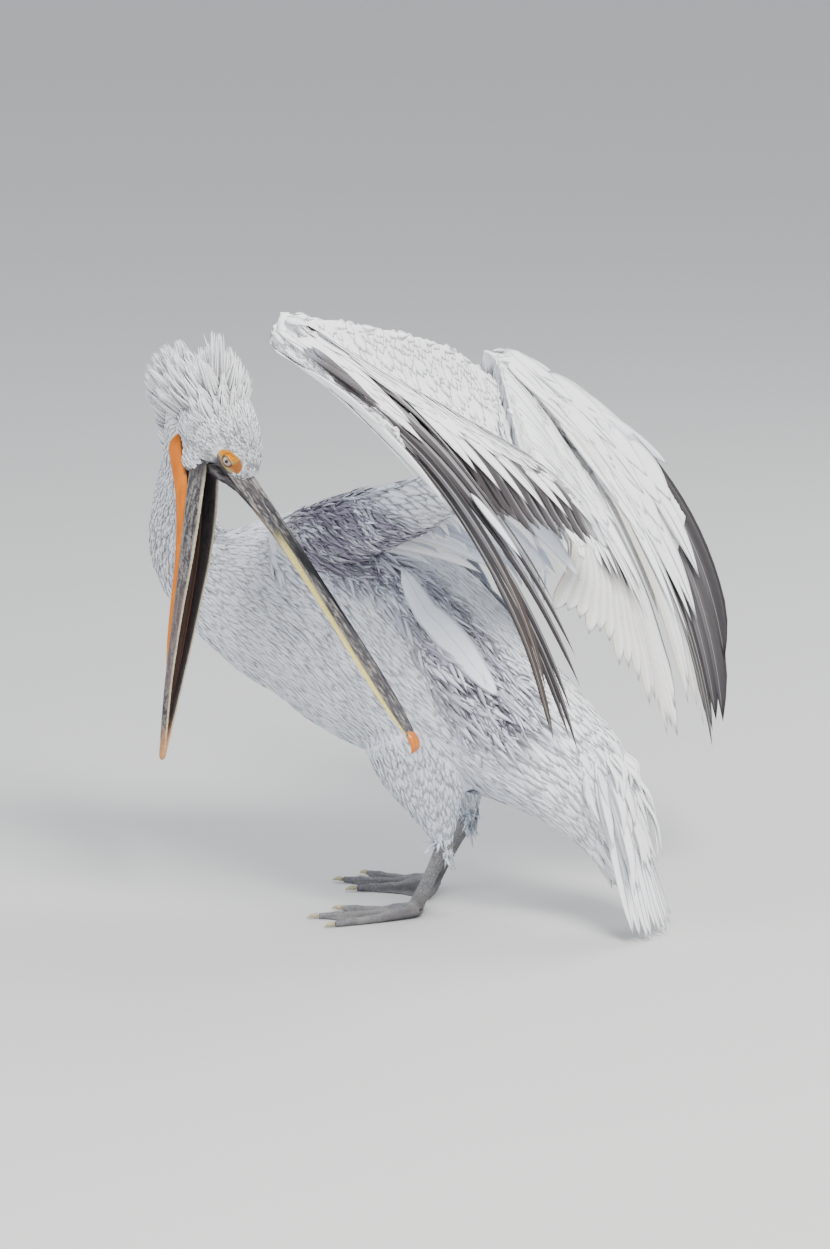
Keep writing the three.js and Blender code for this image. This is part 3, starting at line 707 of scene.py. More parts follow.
# feathers as closed vanes: lines has the places of each feather's rings, ups the way their upper side faces,
# halves half their widths, tones their colours; shares are the two webs' widths, web the second's colours
def vanes(name, lines, ups, halves, thickness, tones, rootUv, columns=5, camber=0.12, shares=(1, 1),
          web=None):
    count, rings = lines.shape[:2]
    halves, tones = np.broadcast_to(halves, (count, rings)), np.broadcast_to(tones, (count, rings, 3))
    along = unit(np.gradient(lines, axis=1))
    side = unit(np.cross(along, ups))
    up = np.cross(side, along)
    x = np.linspace(-1, 1, columns)
    loopX = np.concatenate([x, x[-2:0:-1]])
    loopUp = np.concatenate([1 - x**2, -(1 - x[-2:0:-1] ** 2)]) * 0.5
    width = np.where(loopX < 0, shares[0], shares[1]) * loopX
    ring = slice(1, rings - 1)
    half = halves[:, ring, None, None]
    fade = np.linspace(1, 0.35, rings)[ring][None, :, None, None]
    lift = loopUp[None, None, :, None] * thickness * fade - camber * half * (loopX**2)[None, None, :, None]
    body = lines[:, ring, None] + side[:, ring, None] * (width[None, None, :, None] * half)
    body = body + up[:, ring, None] * lift
    loop, inner = len(loopX), rings - 2
    points = np.concatenate([body.reshape(count, -1, 3), lines[:, :1], lines[:, -1:]], axis=1)
    k = np.arange(loop)
    nextK = (k + 1) % loop
    first = np.arange(inner - 1)[:, None] * loop
    quads = np.stack([first + k, first + nextK, first + loop + nextK, first + loop + k], axis=-1)
    last = (inner - 1) * loop
    rootFan = np.stack([np.full(loop, inner * loop), nextK, k], axis=1)
    tipFan = np.stack([np.full(loop, inner * loop + 1), last + k, last + nextK], axis=1)
    offset = (np.arange(count) * (inner * loop + 2))[:, None, None]
    faceSets = [(quads.reshape(-1, 4) + offset).reshape(-1, 4),
                (np.vstack([rootFan, tipFan]) + offset).reshape(-1, 3)]
    u = np.concatenate([np.tile(0.5 + 0.5 * loopX, inner), [0.5, 0.5]])
    v = np.concatenate([np.repeat(np.linspace(0, 1, rings)[ring], loop), [0, 1]])
    local = np.stack([u, v], axis=1)
    bake = rootUv[:, None] + 0.003 * (local[None] - 0.5)
    ringTone = np.repeat(tones[:, ring], loop, axis=1)
    if web is not None:  # the colour of the second web
        part = np.tile(rise(loopX, -0.15, 0.15), inner)[None, :, None]
        ringTone = mix(ringTone, np.repeat(web[:, ring], loop, axis=1), part)
    tone = np.concatenate([ringTone, tones[:, :1], tones[:, -1:]], axis=1)
    return meshPiece(name, points.reshape(-1, 3), faceSets, tone.reshape(-1, 3),
                     np.clip(bake, 0, 1).reshape(-1, 2), np.tile(local, (count, 1)))


# feathers as one piece; rod gives their shafts' half widths, thickness, tone, lift and, if not all, rows
def feathers(name, lines, ups, halves, thickness, tones, slot, *nodes, look=whitePlume, rod=None, rootRing=0,
             **more):
    uv = skinUv(*onSkin(lines[:, rootRing])[1:])
    ups = np.broadcast_to(ups, lines.shape)
    pieces = [vanes(name, lines, ups, halves, thickness, tones, uv, **more)]
    if rod:
        rows = rod.get("rows", slice(None))
        shafts = (lines + ups * rod["lift"])[rows]
        pieces.append(vanes(name + "Shafts", shafts, ups[rows], rod["half"], rod["thickness"], rod["tone"],
                            uv[rows], 3, 0.0))
    settle(joined(*pieces), slot, look, *nodes)
    print(name, len(lines), "feathers")


def roots(mask, spacing):  # root places about spacing apart over the skin where mask is true
    corners = surface["corners"]
    chosen = np.flatnonzero(mask[corners].all(axis=1))
    a, b, c = (skinPoint[corners[chosen][:, k]] for k in range(3))
    area = np.linalg.norm(np.cross(b - a, c - a), axis=1) / 2
    tri = np.repeat(chosen, draw.poisson(area * 4 / spacing**2))
    r1, r2 = np.sqrt(draw.random(len(tri))), draw.random(len(tri))
    weights = np.stack([1 - r1, r1 * (1 - r2), r1 * r2], axis=1)
    order = draw.permutation(len(tri))
    tri, weights = tri[order], weights[order]
    cells = np.floor(skinValue("co", tri, weights) / (spacing * 1.12)).astype(int)
    kept = np.unique(cells, axis=0, return_index=True)[1]
    return tri[kept], weights[kept]


def laidEnd(start, flow, length, free):  # the place on the skin, or where free straight on beyond its edge
    straight = start + flow * length[:, None]
    place, tri, weights = onSkin(straight)
    over = (np.sum((straight - place) * flow, axis=1) > 0.25 * length) & free
    return np.where(over[:, None], straight, place), unit(skinValue("normal", tri, weights))


vaneOutline = profile(0.45, 0.85, 1.0, 0.95, 0.72, 0.3, 0.05)


# a coat that lies along the skin; no feather grows on, or lies over, the places that bare is true of
def scatter(name, mask, coat, look, slot, colourOf=coatColour, bare=None, lengthOf=None):
    shape = coats[coat]
    tri, weights = roots(mask, shape["spacing"])
    if bare is not None:
        kept = ~bare(skinValue("co", tri, weights), 0.0)
        tri, weights = tri[kept], weights[kept]
    places = skinValue("co", tri, weights)
    normal, flow = (unit(skinValue(key, tri, weights)) for key in ("normal", "flow"))
    count, rings = len(places), shape["rings"]
    turn = np.radians(shape["stray"]) * draw.standard_normal(count)
    flow = unit(flow * np.cos(turn)[:, None] + np.cross(normal, flow) * np.sin(turn)[:, None])
    length = shape["length"] * (1 + shape["unequal"] * draw.standard_normal(count).clip(-2, 2))
    if lengthOf:
        length = length * lengthOf(places[:, 2])
    width = shape["width"] * (0.85 + 0.3 * draw.random(count))
    free = places[:, 2] < shape["freeBelow"]
    middle, midNormal = laidEnd(places, flow, length * 0.5, free)
    end, endNormal = laidEnd(places, flow, length, free)
    if bare is not None:
        length[bare(end, -1.5) | bare(middle, -1.5)] *= 0.3
        middle, midNormal = laidEnd(places, flow, length * 0.5, free)
        end, endNormal = laidEnd(places, flow, length, free)
    standing = shape["stand"] * (0.6 + 0.8 * draw.random(count))[:, None]
    start = places - normal * 0.0015
    middle = middle + midNormal * (standing * 0.75)
    end = end + endNormal * standing
    control = 2 * middle - 0.5 * (start + end)
    t = np.linspace(0, 1, rings)
    lines = bow(start[:, None], control[:, None], end[:, None], t[None, :, None])
    roll = np.radians(shape["roll"]) * draw.standard_normal(count)
    up = unit(midNormal * np.cos(roll)[:, None] + np.cross(flow, midNormal) * np.sin(roll)[:, None])
    halves = width[:, None] / 2 * vaneOutline(t)[None]
    tone = colourOf(places) * (1 + shape["varied"] * draw.standard_normal(count)[:, None]).clip(0.7, 1.3)
    dim = np.linspace(shape["rootShade"], 1, rings) ** 0.7
    tones = np.clip(tone[:, None] * dim[None, :, None], 0, 0.95)
    uv = skinUv(tri, weights)
    piece = vanes(name, lines, up[:, None], halves, shape["thickness"], tones, uv, 3, 0.10)
    settle(piece, slot, look)
    print(name, count, "feathers", len(piece.data.polygons), "faces")


# body coat; feathers that grow below freeBelow run straight on past the skin's edge
coatValues = ("spacing", "length", "width", "stand", "thickness", "unequal", "stray", "roll", "rings",
              "rootShade", "varied", "freeBelow")
coats = {
    "breast": (0.0056, 0.044, 0.0100, 0.0015, 0.0005, 0.14, 3, 3, 5, 0.94, 0.04, -1),
    "back": (0.0072, 0.060, 0.0150, 0.0018, 0.0006, 0.16, 4, 3, 5, 0.95, 0.025, -1),
    "down": (0.0047, 0.026, 0.0058, 0.0042, 0.0005, 0.3, 16, 14, 5, 0.88, 0.09, -1),
    "longDown": (0.0115, 0.052, 0.0080, 0.0062, 0.0005, 0.3, 13, 12, 7, 0.9, 0.10, -1),
    "neck": (0.0040, 0.020, 0.0054, 0.0018, 0.0005, 0.2, 6, 6, 4, 0.92, 0.05, -1),
    "head": (0.0030, 0.0115, 0.0036, 0.0024, 0.0004, 0.25, 14, 14, 4, 0.88, 0.07, -1),
    "thigh": (0.0050, 0.030, 0.0080, 0.0016, 0.0005, 0.2, 5, 4, 4, 0.93, 0.04, 0.15),
    "shoulder": (0.0080, 0.048, 0.0145, 0.0024, 0.0006, 0.15, 5, 5, 5, 0.92, 0.04, -1),
    "wing": (0.0095, 0.042, 0.0210, 0.0008, 0.0003, 0.10, 3, 1, 6, 0.98, 0.01, 9),
    "edge": (0.0062, 0.022, 0.0125, 0.0005, 0.0003, 0.10, 4, 1, 5, 0.99, 0.01, -1),
    "tail": (0.0100, 0.085, 0.0180, 0.0045, 0.0008, 0.22, 6, 6, 7, 0.95, 0.02, 9),
}
coats = {name: dict(zip(coatValues, row)) for name, row in coats.items()}
downShare = sideMottle(skinPoint)[0]
trunkShare = alongCurve(trunkCurve, skinPoint)[1]


def bareFace(points, grow):  # bare skin round each eye and along the gape, grown by so many mm
    bare = gapeShare(points) > 0.5
    for side in sides:
        a, b, out = facePlace(points, side)
        ring = ((a + 1) / (16.5 + grow)) ** 2 + (b / (14.5 + grow)) ** 2 < 1
        lore = ((a - 13) / (11.5 + grow)) ** 2 + ((b - 3) / (11.5 + grow)) ** 2 < 1
        bare |= (ring | lore) & (out > 0)
    return bare


def whiteOf(points):
    return colours["white"] * 0.97


def looseColour(points):  # the long down is paler than what it lies on, here and there nearly white
    pale = rise(mottleNoise(points, 0.012, 41.0), 0.35, 0.7)
    return layers(coatColour(points), (colours["blueWhite"], 0.10 + 0.55 * pale))


trunk, onFore, onHand = regionIs["trunk"], regionIs["fore"], regionIs["hand"]
onTrunk = trunk & (downShare < 0.6)
across = wingAcross
onWing = (onFore & (across > -0.75) & (across < 0.46)) | (onHand & (across > 0.05) & (across < 0.26))
onEdge = (onFore & (across < -0.6)) | (onHand & ((across < 0.08) | (wingAlong > 0.85)) & (across < 0.3))
scatter("breastPlumage", onTrunk & (trunkShare < 0.36), "breast", plume, "body_feather")
scatter("flankPlumage", onTrunk & (trunkShare >= 0.34) & (trunkShare < 0.64), "breast", plume, "body_feather")
scatter("rumpPlumage", onTrunk & (trunkShare >= 0.62), "back", whitePlume, "white_feather")
scatter("sideDown", (trunk | regionIs["upper"]) & (downShare > 0.4), "down", downPlume, "mottled_feather")
scatter("shoulderPlumage", regionIs["upper"] & (downShare < 0.6), "shoulder", plume, "body_feather")
scatter("neckPlumage", regionIs["neck"], "neck", plume, "mottled_feather")
scatter("longDown", trunk & (downShare > 0.6), "longDown", downPlume, "mottled_feather", looseColour)
scatter("headPlumage", regionIs["head"], "head", plume, "mottled_feather", bare=bareFace)
scatter("thighPlumage", regionIs["thigh"], "thigh", plume, "white_feather",
        lengthOf=lambda z: 1.5 - 0.5 * rise(z, 0.09, 0.15))
for sideName in sides:
    onSide = skinLeft == (sideName == "left")
    scatter(f"wingPlumage_{sideName}", onWing & onSide, "wing", whitePlume, "white_feather", whiteOf)
    scatter(f"wingEdge_{sideName}", onEdge & onSide, "edge", whitePlume, "white_feather", whiteOf)
print("body coat made")

# one loose plume that lies over the mottled down on each side, from root to tip, both x, y and z in mm
sidePlume = {"root": (120, 33, 474), "tip": (120, 186, 330), "width": 0.042, "lift": 0.0092, "bow": 0.006,
             "rings": 14, "thickness": 0.0009, "shaft": 0.0011, "shaftThickness": 0.0016}


def makeSidePlumes():
    t = np.linspace(0, 1, sidePlume["rings"])
    lines, ups = [], []
    for sign in (1, -1):
        ends = (at(sign * x, y, z) for x, y, z in (sidePlume["root"], sidePlume["tip"]))
        run = mix(*ends, t[:, None])
        run[:, 1:] += sidePlume["bow"] * np.sin(np.pi * t)[:, None]
        place, tri, weights = onSkin(run)
        normal = unit(skinValue("normal", tri, weights)).mean(axis=0)
        smooth = [np.convolve(np.pad(place[:, k], 2, "edge"), np.ones(5) / 5, "valid") for k in range(3)]
        lift = sidePlume["lift"] * (0.25 + 0.75 * rise(t, 0, 0.3))
        lines.append(np.array(smooth).T + normal * lift[:, None])
        ups.append(unit(normal)[None])
    halves = sidePlume["width"] / 2 * profile(0.3, 0.7, 0.95, 1.0, 0.85, 0.55, 0.04)(t)
    tone = colours["blueWhite"] * 0.97
    rod = {"half": sidePlume["shaft"] * (1 - 0.85 * t), "thickness": sidePlume["shaftThickness"],
           "tone": tone * 0.9, "lift": 0.0006}
    feathers("sidePlumes", np.array(lines), np.array(ups), halves, sidePlume["thickness"], tone,
             "body_feather", rod=rod, columns=7, camber=0.10)


makeSidePlumes()

# crest
crestShape = {"spacing": 0.0033, "length": 0.062, "width": 0.0036, "rings": 7, "thickness": 0.0008,
              "stray": 0.06, "tuft": 0.016, "gather": 0.95, "napeLength": 0.052, "lean": 0.46, "spin": 0.4,
              "camber": 0.15}
napeWay = unit((0.245, -0.525, 0.80))  # the way the long feathers of the nape stand
leanWay = np.array((0.423, -0.906, 0.0))


def makeCrest():
    shape = crestShape
    tri, weights = roots(regionIs["head"] | regionIs["neck"], shape["spacing"])
    places = skinValue("co", tri, weights)
    offset = places - nape
    reach = offset @ forward
    crown = (reach > -0.034) & (reach < 0.058) & (offset @ crownUp > 0.006)
    crown &= np.abs(offset @ rightward) < 0.05
    normal = unit(skinValue("normal", tri, weights))
    behind = ~crown & (normal @ napeWay > 0.45) & (places[:, 2] > 0.612) & (reach < 0.03)
    kept = crown | behind
    tri, weights, places, offset = tri[kept], weights[kept], places[kept], offset[kept]
    normal, reach, behind = normal[kept], reach[kept], behind[kept]
    lean = shape["lean"] * (1 - rise(offset @ -leanWay, -0.020, 0.070))[:, None] * leanWay
    count, rings = len(places), shape["rings"]
    tuft = np.round(places / shape["tuft"]) * shape["tuft"]
    spin = np.stack([grain(tuft + k, 0.017, k * 4.0) for k in range(3)], axis=1)
    tall = 0.86 + 0.9 * np.clip(grain(tuft, 0.013, 7.0), -0.16, 0.42)
    length = shape["length"] * tall * (0.85 + 0.2 * draw.random(count))
    length = length * (1 - 0.55 * rise(reach, 0.016, 0.058))
    napeLength = shape["napeLength"] * (0.25 + 0.75 * rise(places[:, 2], 0.61, 0.69)) * tall**0.5
    length = np.where(behind, napeLength, length)
    aim = normal * np.where(behind, 0.35, 0.60)[:, None] + np.array((-0.10, -0.16, 0.95)) * 0.85 + lean
    aim = unit(aim + spin * shape["spin"] + draw.standard_normal((count, 3)) * shape["stray"])
    start = places - normal * 0.002
    tip = start + aim * length[:, None]
    centre = np.zeros_like(tip)
    for key in np.unique(tuft, axis=0):
        rows = np.all(tuft == key, axis=1)
        centre[rows] = tip[rows].mean(axis=0)
    tip = mix(tip, centre, shape["gather"] * draw.random(count)[:, None] ** 0.25)
    middle = mix(start, tip, 0.5) + normal * 0.005
    t = np.linspace(0, 1, rings)
    lines = bow(start[:, None], middle[:, None], tip[:, None], t[None, :, None])
    facing = unit(normal + draw.standard_normal((count, 3)) * 0.35)
    outline = profile(1, 1, 0.95, 0.8, 0.6, 0.4, 0.06)(t)
    halves = shape["width"] / 2 * (0.8 + 0.5 * draw.random(count))[:, None] * outline[None]
    tone = colours["white"] * (0.93 + 0.07 * draw.random(count))[:, None]
    # darker towards the roots: painted shade inside the crest
    tones = np.clip(tone[:, None] * np.linspace(0.88, 1, rings)[None, :, None], 0, 0.95)
    uv = skinUv(tri, weights)
    piece = vanes("crestPlumes", lines, facing[:, None], halves, shape["thickness"], tones, uv, 3,
                  shape["camber"])
    settle(piece, "white_feather", whitePlume, "crest")
    print("crest", count, "plumes")


makeCrest()

# the larger coverts, in rows on the two fans of each wing, and below them the linings
lanceOutline = profile(0.5, 0.85, 1.0, 1.0, 0.9, 0.68, 0.36, 0.03)
# rows: v at the root and reach at the tip, each at the body and outwards, then width, count, stand and, where
# they aren't as usual, how unequal they are, the first one's place and how they stray
coverRows = {
    "arm_left": [
        (0.00, 0.00, 0.24, 0.20, 0.021, 24, 0.0016), (0.10, 0.10, 0.36, 0.31, 0.023, 22, 0.0020),
        (0.20, 0.20, 0.47, 0.41, 0.026, 20, 0.0026), (0.30, 0.29, 0.62, 0.52, 0.028, 18, 0.0034, 0.13),
        (0.36, 0.34, 0.95, 0.84, 0.024, 8, 0.0046, 0.08, 0.1, 0.10),
    ],
    "arm_right": [
        (0.00, 0.00, 0.24, 0.20, 0.021, 24, 0.0016), (0.10, 0.10, 0.36, 0.32, 0.024, 22, 0.0020),
        (0.20, 0.20, 0.46, 0.46, 0.028, 19, 0.0026), (0.30, 0.30, 0.50, 0.56, 0.030, 16, 0.0034, 0.10),
        (0.34, 0.34, 0.60, 0.76, 0.024, 9, 0.0044, 0.10),
    ],
    "hand_left": [
        (0.01, 0.01, 0.15, 0.15, 0.014, 8, 0.0014), (0.07, 0.08, 0.22, 0.26, 0.015, 8, 0.0020, 0.10),
        (0.12, 0.16, 0.30, 0.44, 0.015, 8, 0.0030, 0.12),
    ],
    "hand_right": [
        (0.01, 0.01, 0.19, 0.19, 0.022, 7, 0.0014), (0.10, 0.10, 0.33, 0.33, 0.025, 8, 0.0018, 0.08),
        (0.22, 0.22, 0.50, 0.48, 0.027, 8, 0.0024, 0.10), (0.36, 0.34, 0.58, 0.52, 0.026, 8, 0.0032, 0.08),
        (0.42, 0.38, 0.82, 0.74, 0.022, 5, 0.0044, 0.10, 0.35),
    ],
}


def layRows(name, wing, place, half, face, rows, tint):  # face is 1 above the wing, -1 below
    made = []
    for number, (v0, v1, reach0, reach1, width, count, stand, *more) in enumerate(rows):
        usual = (0.07, 0.5 * (number % 2) + 0.25, 0.15)
        unequal, phase, stray = (*more, *usual[len(more):])
        share = (np.arange(count) + phase) / count
        share = np.clip(share + draw.standard_normal(count) * stray / count, 0.004, 0.996)
        v = mix(v0, v1, share) + draw.standard_normal(count) * 0.008
        run = (mix(reach0, reach1, share) - v) * (1 + unequal * draw.standard_normal(count).clip(-2, 2))
        made.append((share, v, run, width * (0.9 + 0.2 * draw.random(count)), np.full(count, stand)))
    u, v, run, width, stand = (np.concatenate(values)[:, None] for values in zip(*made))
    t = np.linspace(0, 1, 10)
    u = np.clip(u + draw.standard_normal(len(u))[:, None] * 0.008 * t, 0.001, 0.999)
    v = v + run * t
    ups = sheetUp(place, wing, u, v) * face
    height = half(u, np.minimum(v, 1)) - 0.0016 * (1 - t) + stand * (0.3 + 0.7 * t)
    lines = place(wing, u, v) + ups * height[..., None]
    shade = (1 + 0.025 * draw.standard_normal((len(u), 1, 1)).clip(-2, 2)) * mix(0.93, 1.0, t**0.6)[:, None]
    rod = {"half": 0.0007 * rise(t, 0.35, 0.6) * (1 - 0.5 * t) + 0.00002, "thickness": 0.0009, "lift": 0.0006,
           "tone": colours["grey"] * 0.55, "rows": draw.random(len(u)) < 0.3}
    feathers(name, lines, ups, width / 2 * lanceOutline(t), 0.0008, np.clip(tint * shade, 0, 0.95),
             "white_feather", rod=rod, rootRing=1, camber=0.08)


for sideName in sides:
    wing = wings[sideName]
    arm, hand = coverRows[f"arm_{sideName}"], coverRows[f"hand_{sideName}"]
    for label, face, tint in (("Coverts", 1, colours["white"]), ("Linings", -1, colours["white"] * 0.97)):
        layRows(f"arm{label}_{sideName}", wing, armPlace, armHalf, face, arm, tint)
        layRows(f"hand{label}_{sideName}", wing, handPlace, handHalf, face, hand, tint)
print("wing coverts made")

# flight feathers; over says where along v they lift off the flesh near the roots, and by how much
quillOutline = profile(0.5, 0.85, 1.0, 1.0, 0.95, 0.86, 0.76, 0.68, 0.60, 0.46, 0.06)
broadOutline = profile(0.55, 0.9, 1.0, 1.0, 1.0, 1.0, 0.97, 0.84, 0.16)
flight = {  # width, share of the narrow web, rings, thickness and half width of the shaft
    "primaries_left": (0.0185, 0.55, 22, 0.0014, 0.0017), "primaries_right": (0.034, 0.5, 20, 0.0014, 0.0018),
    "secondaries_left": (0.029, 0.6, 14, 0.0012, 0.0013),
    "secondaries_right": (0.036, 0.6, 14, 0.0012, 0.0013),
    "tips_left": (0.02, 0.12, 0.28, 0.34, 0.52, 0.57, 0.62, 0.84, 0.89, 0.96),
    "tips_right": (0.04, 0.13, 0.22, 0.32, 0.42, 0.50, 0.57, 0.66, 0.76, 0.90),
    "over": {"primaries": (0.16, 0.26, 0.34, 0.62, 0.0065), "secondaries": (0.34, 0.45, 0.70, 0.90, 0.0052)},
}


# one broad vane for each feather, with its shaft; u and v are pairs, at the roots and at the tips
def flightFan(name, kind, sideName, place, u, v, offsets, outline, toneOf, slot):
    wing = wings[sideName]
    width, narrow, rings, thickness, rodHalf = flight[f"{kind}_{sideName}"]
    low, lifted, high, laid, clear = flight["over"][kind]
    t = np.linspace(0, 1, rings)
    u = mix(u[0][:, None], u[1][:, None], t**1.2)
    v = mix(v[0], v[1][:, None], t)
    ups = sheetUp(place, wing, np.clip(u, 0.002, 0.998), v)
    clear = clear * rise(v, low, lifted) * (1 - rise(v, high, laid))
    lines = place(wing, np.clip(u, 0.0, 1.0), v) + ups * (offsets[:, None] + clear)[..., None]
    tones, web = toneOf(np.arange(len(u)) / (len(u) - 1), t, wing)
    shares = (narrow, 1.0)
    if wing["up"] < 0:
        tones, web, shares = web, tones, (1.0, narrow)
    rod = {"half": rodHalf * (1 - 0.82 * t), "thickness": 0.0036, "lift": 0,
           "tone": np.clip(tones * 0.5 + 0.34 * colours["ivory"], 0, 0.95)}
    feathers(name, lines, ups, width / 2 * outline(t), thickness, np.clip(tones, 0, 0.95), slot,
             f"{kind}_{sideName}", look=vane, rod=rod, columns=7, camber=0.10, shares=shares,
             web=np.clip(web, 0, 0.95))


def primaryTone(shares, t, wing):  # the leading web grey, the trailing one blacker towards its edge
    slate, black, grey, brown = (colours[key] for key in ("slate", "black", "grey", "brown"))
    tones = mix(grey * 0.75, mix(slate, grey, 0.35), rise(t, 0.0, 0.3)[:, None])
    tones = mix(tones, black, 0.75 * rise(t, 0.55, 0.95)[:, None])
    web = mix(slate, mix(slate, black, 0.85), rise(t, 0.1, 0.4)[:, None])
    if wing["up"] > 0:
        browner = (0.5 * rise(shares, 0.6, 0.9))[:, None, None] * rise(t, 0.5, 0.8)[:, None]
        return mix(tones, brown * 0.7, browner), mix(web, brown * 0.5, browner)
    # the far wing's inner primaries are pale
    pale = np.maximum((1 - rise(shares, 0.30, 0.45))[:, None, None], 1 - rise(t, 0.26, 0.38)[:, None])
    return mix(tones, colours["ivory"] * 0.9, pale), mix(web, colours["white"] * 0.9, pale)


def secondaryTone(shares, t, wing):  # dark beyond the coverts, on the far wing only in one patch
    if wing["up"] > 0:
        dark = rise(shares, 0.02, 0.12)[:, None, None]
        outer = colours["shade"]
    else:
        patch = rise(shares, 0.22, 0.3) * (1 - rise(shares, 0.72, 0.82))
        dark = patch[:, None, None] * (1 - rise(t, 0.48, 0.60))[:, None]
        outer = colours["ivory"]
    # darker towards the roots: painted shade under the coverts
    lift = mix(0.92, 1.0, t)[:, None]
    outer = mix(outer, mix(colours["slate"], colours["grey"], 0.5), dark)
    inner = mix(colours["white"] * 0.92, mix(colours["slate"], colours["black"], 0.5), dark)
    return outer * lift, inner * lift


for sideName in sides:
    left = sideName == "left"
    tips = np.array(flight[f"tips_{sideName}"])
    n = np.arange(len(tips))
    reach = 0.985 + 0.035 * np.cos(n * 2.4)
    outline = quillOutline if left else broadOutline
    flightFan(f"primaryFeathers_{sideName}", "primaries", sideName, handPlace, ((n + 0.5) / len(n), tips),
              (0.10, reach), 0.0035 - 0.0007 * n, outline, primaryTone, "dark_vane")
    n = np.arange(14 if left else 17)
    spots = (n + 0.5) / len(n) * 0.985
    reach = 0.99 + 0.03 * np.cos(n * 2.1) + (0 if left else 0.07) * rise(spots, 0.25, 0.5)
    flightFan(f"secondaryFeathers_{sideName}", "secondaries", sideName, armPlace, (spots, spots),
              (0.30, reach), 0.002 - 0.0004 * n, broadOutline, secondaryTone, "grey_vane")
print("flight feathers made")

# tail
tailShape = {"feathers": 12, "length": 0.205, "halves": (0.034, 0.062), "width": 0.023, "rings": 14,
             "thickness": 0.0014, "coverts": 84, "covertWidth": 0.019}
tailRoot = at(0, 292, 186)
tailAim = unit((0, 0.285, -0.958))
tailBack = unit((0, 0.958, 0.285))
floorGap = 0.0012


def fanLines(spread, length, halves, offset, rings, sag):
    t = np.linspace(0, 1, rings)
    back = sag * (1 - spread**2)[:, None] + offset[:, None] * (1 - 0.35 * t**2)
    lines = tailRoot + (length[:, None] * t)[..., None] * tailAim + back[..., None] * tailBack
    lines[..., 0] += spread[:, None] * mix(*halves, t)
    ups = unit(tailBack + np.outer(spread, (0.35, 0, 0)))
    return lines, np.repeat(ups[:, None], rings, axis=1), t


# the duller roots are painted shade where the feathers lie under others
def whitened(root, t, high):  # white that is a little duller towards the root
    return mix(colours["white"] * root, colours["white"] * 0.98, rise(t, 0.0, high)[:, None])


def makeTail():
    shape = tailShape
    n = shape["feathers"]
    spread = np.linspace(-1, 1, n) + draw.standard_normal(n) * 0.035
    length = shape["length"] * (1 - 0.06 * spread**2 - 0.10 * draw.random(n))
    lines, ups, t = fanLines(spread, length, shape["halves"], np.zeros(n), shape["rings"], 0.010)
    lines = lines + ups * (0.0022 - 0.0006 * np.abs(np.linspace(-5, 5, n)))[:, None, None]
    lowest = lines[..., 2].min(axis=1)
    lines[..., 2] += np.maximum(floorGap - lowest, 0)[:, None] * t**3
    halves = shape["width"] / 2 * profile(0.5, 0.85, 1.0, 1.05, 1.0, 0.85, 0.55, 0.05)(t)
    rod = {"half": 0.0015 * (1 - 0.8 * t), "thickness": 0.0022, "tone": colours["grey"] * 1.1, "lift": 0.0006}
    feathers("tailFeathers", lines, ups, halves, shape["thickness"], whitened(0.92, t, 0.5), "white_feather",
             "tail", rod=rod, columns=7)


def makeTailCoverts():  # loose pointed feathers of all lengths that run from the rump over the tail's root
    n = tailShape["coverts"]
    spread = np.linspace(-1, 1, n)[draw.permutation(n)] * 0.98
    share = draw.random(n)
    above = draw.random(n) < 0.68
    offset = np.where(above, mix(0.030, 0.008, share), -mix(0.020, 0.006, share))
    offset = np.where(np.abs(spread) > 0.72, mix(-0.022, 0.030, draw.random(n)), offset)
    lines, ups, t = fanLines(spread, mix(0.045, 0.150, share), (0.044, 0.058), offset, 10, 0.006)
    lines = lines - tailAim * mix(0.060, 0.010, share)[:, None, None]
    lines = lines + draw.standard_normal((n, 1, 3)) * 0.002
    lines[..., 0] += draw.standard_normal((n, 1)) * 0.010 * t**2
    shift = onSkin(lines[:, 0])[0] - lines[:, 0]  # bends the roots down onto the skin
    lines = lines + shift[:, None] * (1 - rise(t, 0.0, 0.7))[:, None]
    halves = tailShape["covertWidth"] / 2 * (0.85 + 0.3 * draw.random(n))[:, None] * lanceOutline(t)
    feathers("tailCoverts", lines, np.where(above[:, None, None], ups, -ups), halves, 0.0010,
             whitened(0.93, t, 0.6), "white_feather", "tail_coverts")


makeTail()
makeTailCoverts()
# the rump's last feathers run on past the flesh, straight along the tail
rear = trunk & (trunkShare > 0.84) & (np.abs(surface["normal"] @ tailAim) < 0.85)
scatter("tailRootPlumage", rear, "tail", whitePlume, "white_feather", whiteOf,
        lengthOf=lambda z: np.clip((z - 0.03) / 0.125, 0.1, 1))
print("tail made")

# scapulars; tiers: count, length as a share, width
scapulars = {"tiers": ((14, 1.0, 0.023), (15, 0.72, 0.020), (16, 0.45, 0.017)), "rings": 12,
             "thickness": 0.0011, "left": ("blueWhite", "shade", "white", "blueWhite", "white"),
             "right": ("white", "blueWhite")}


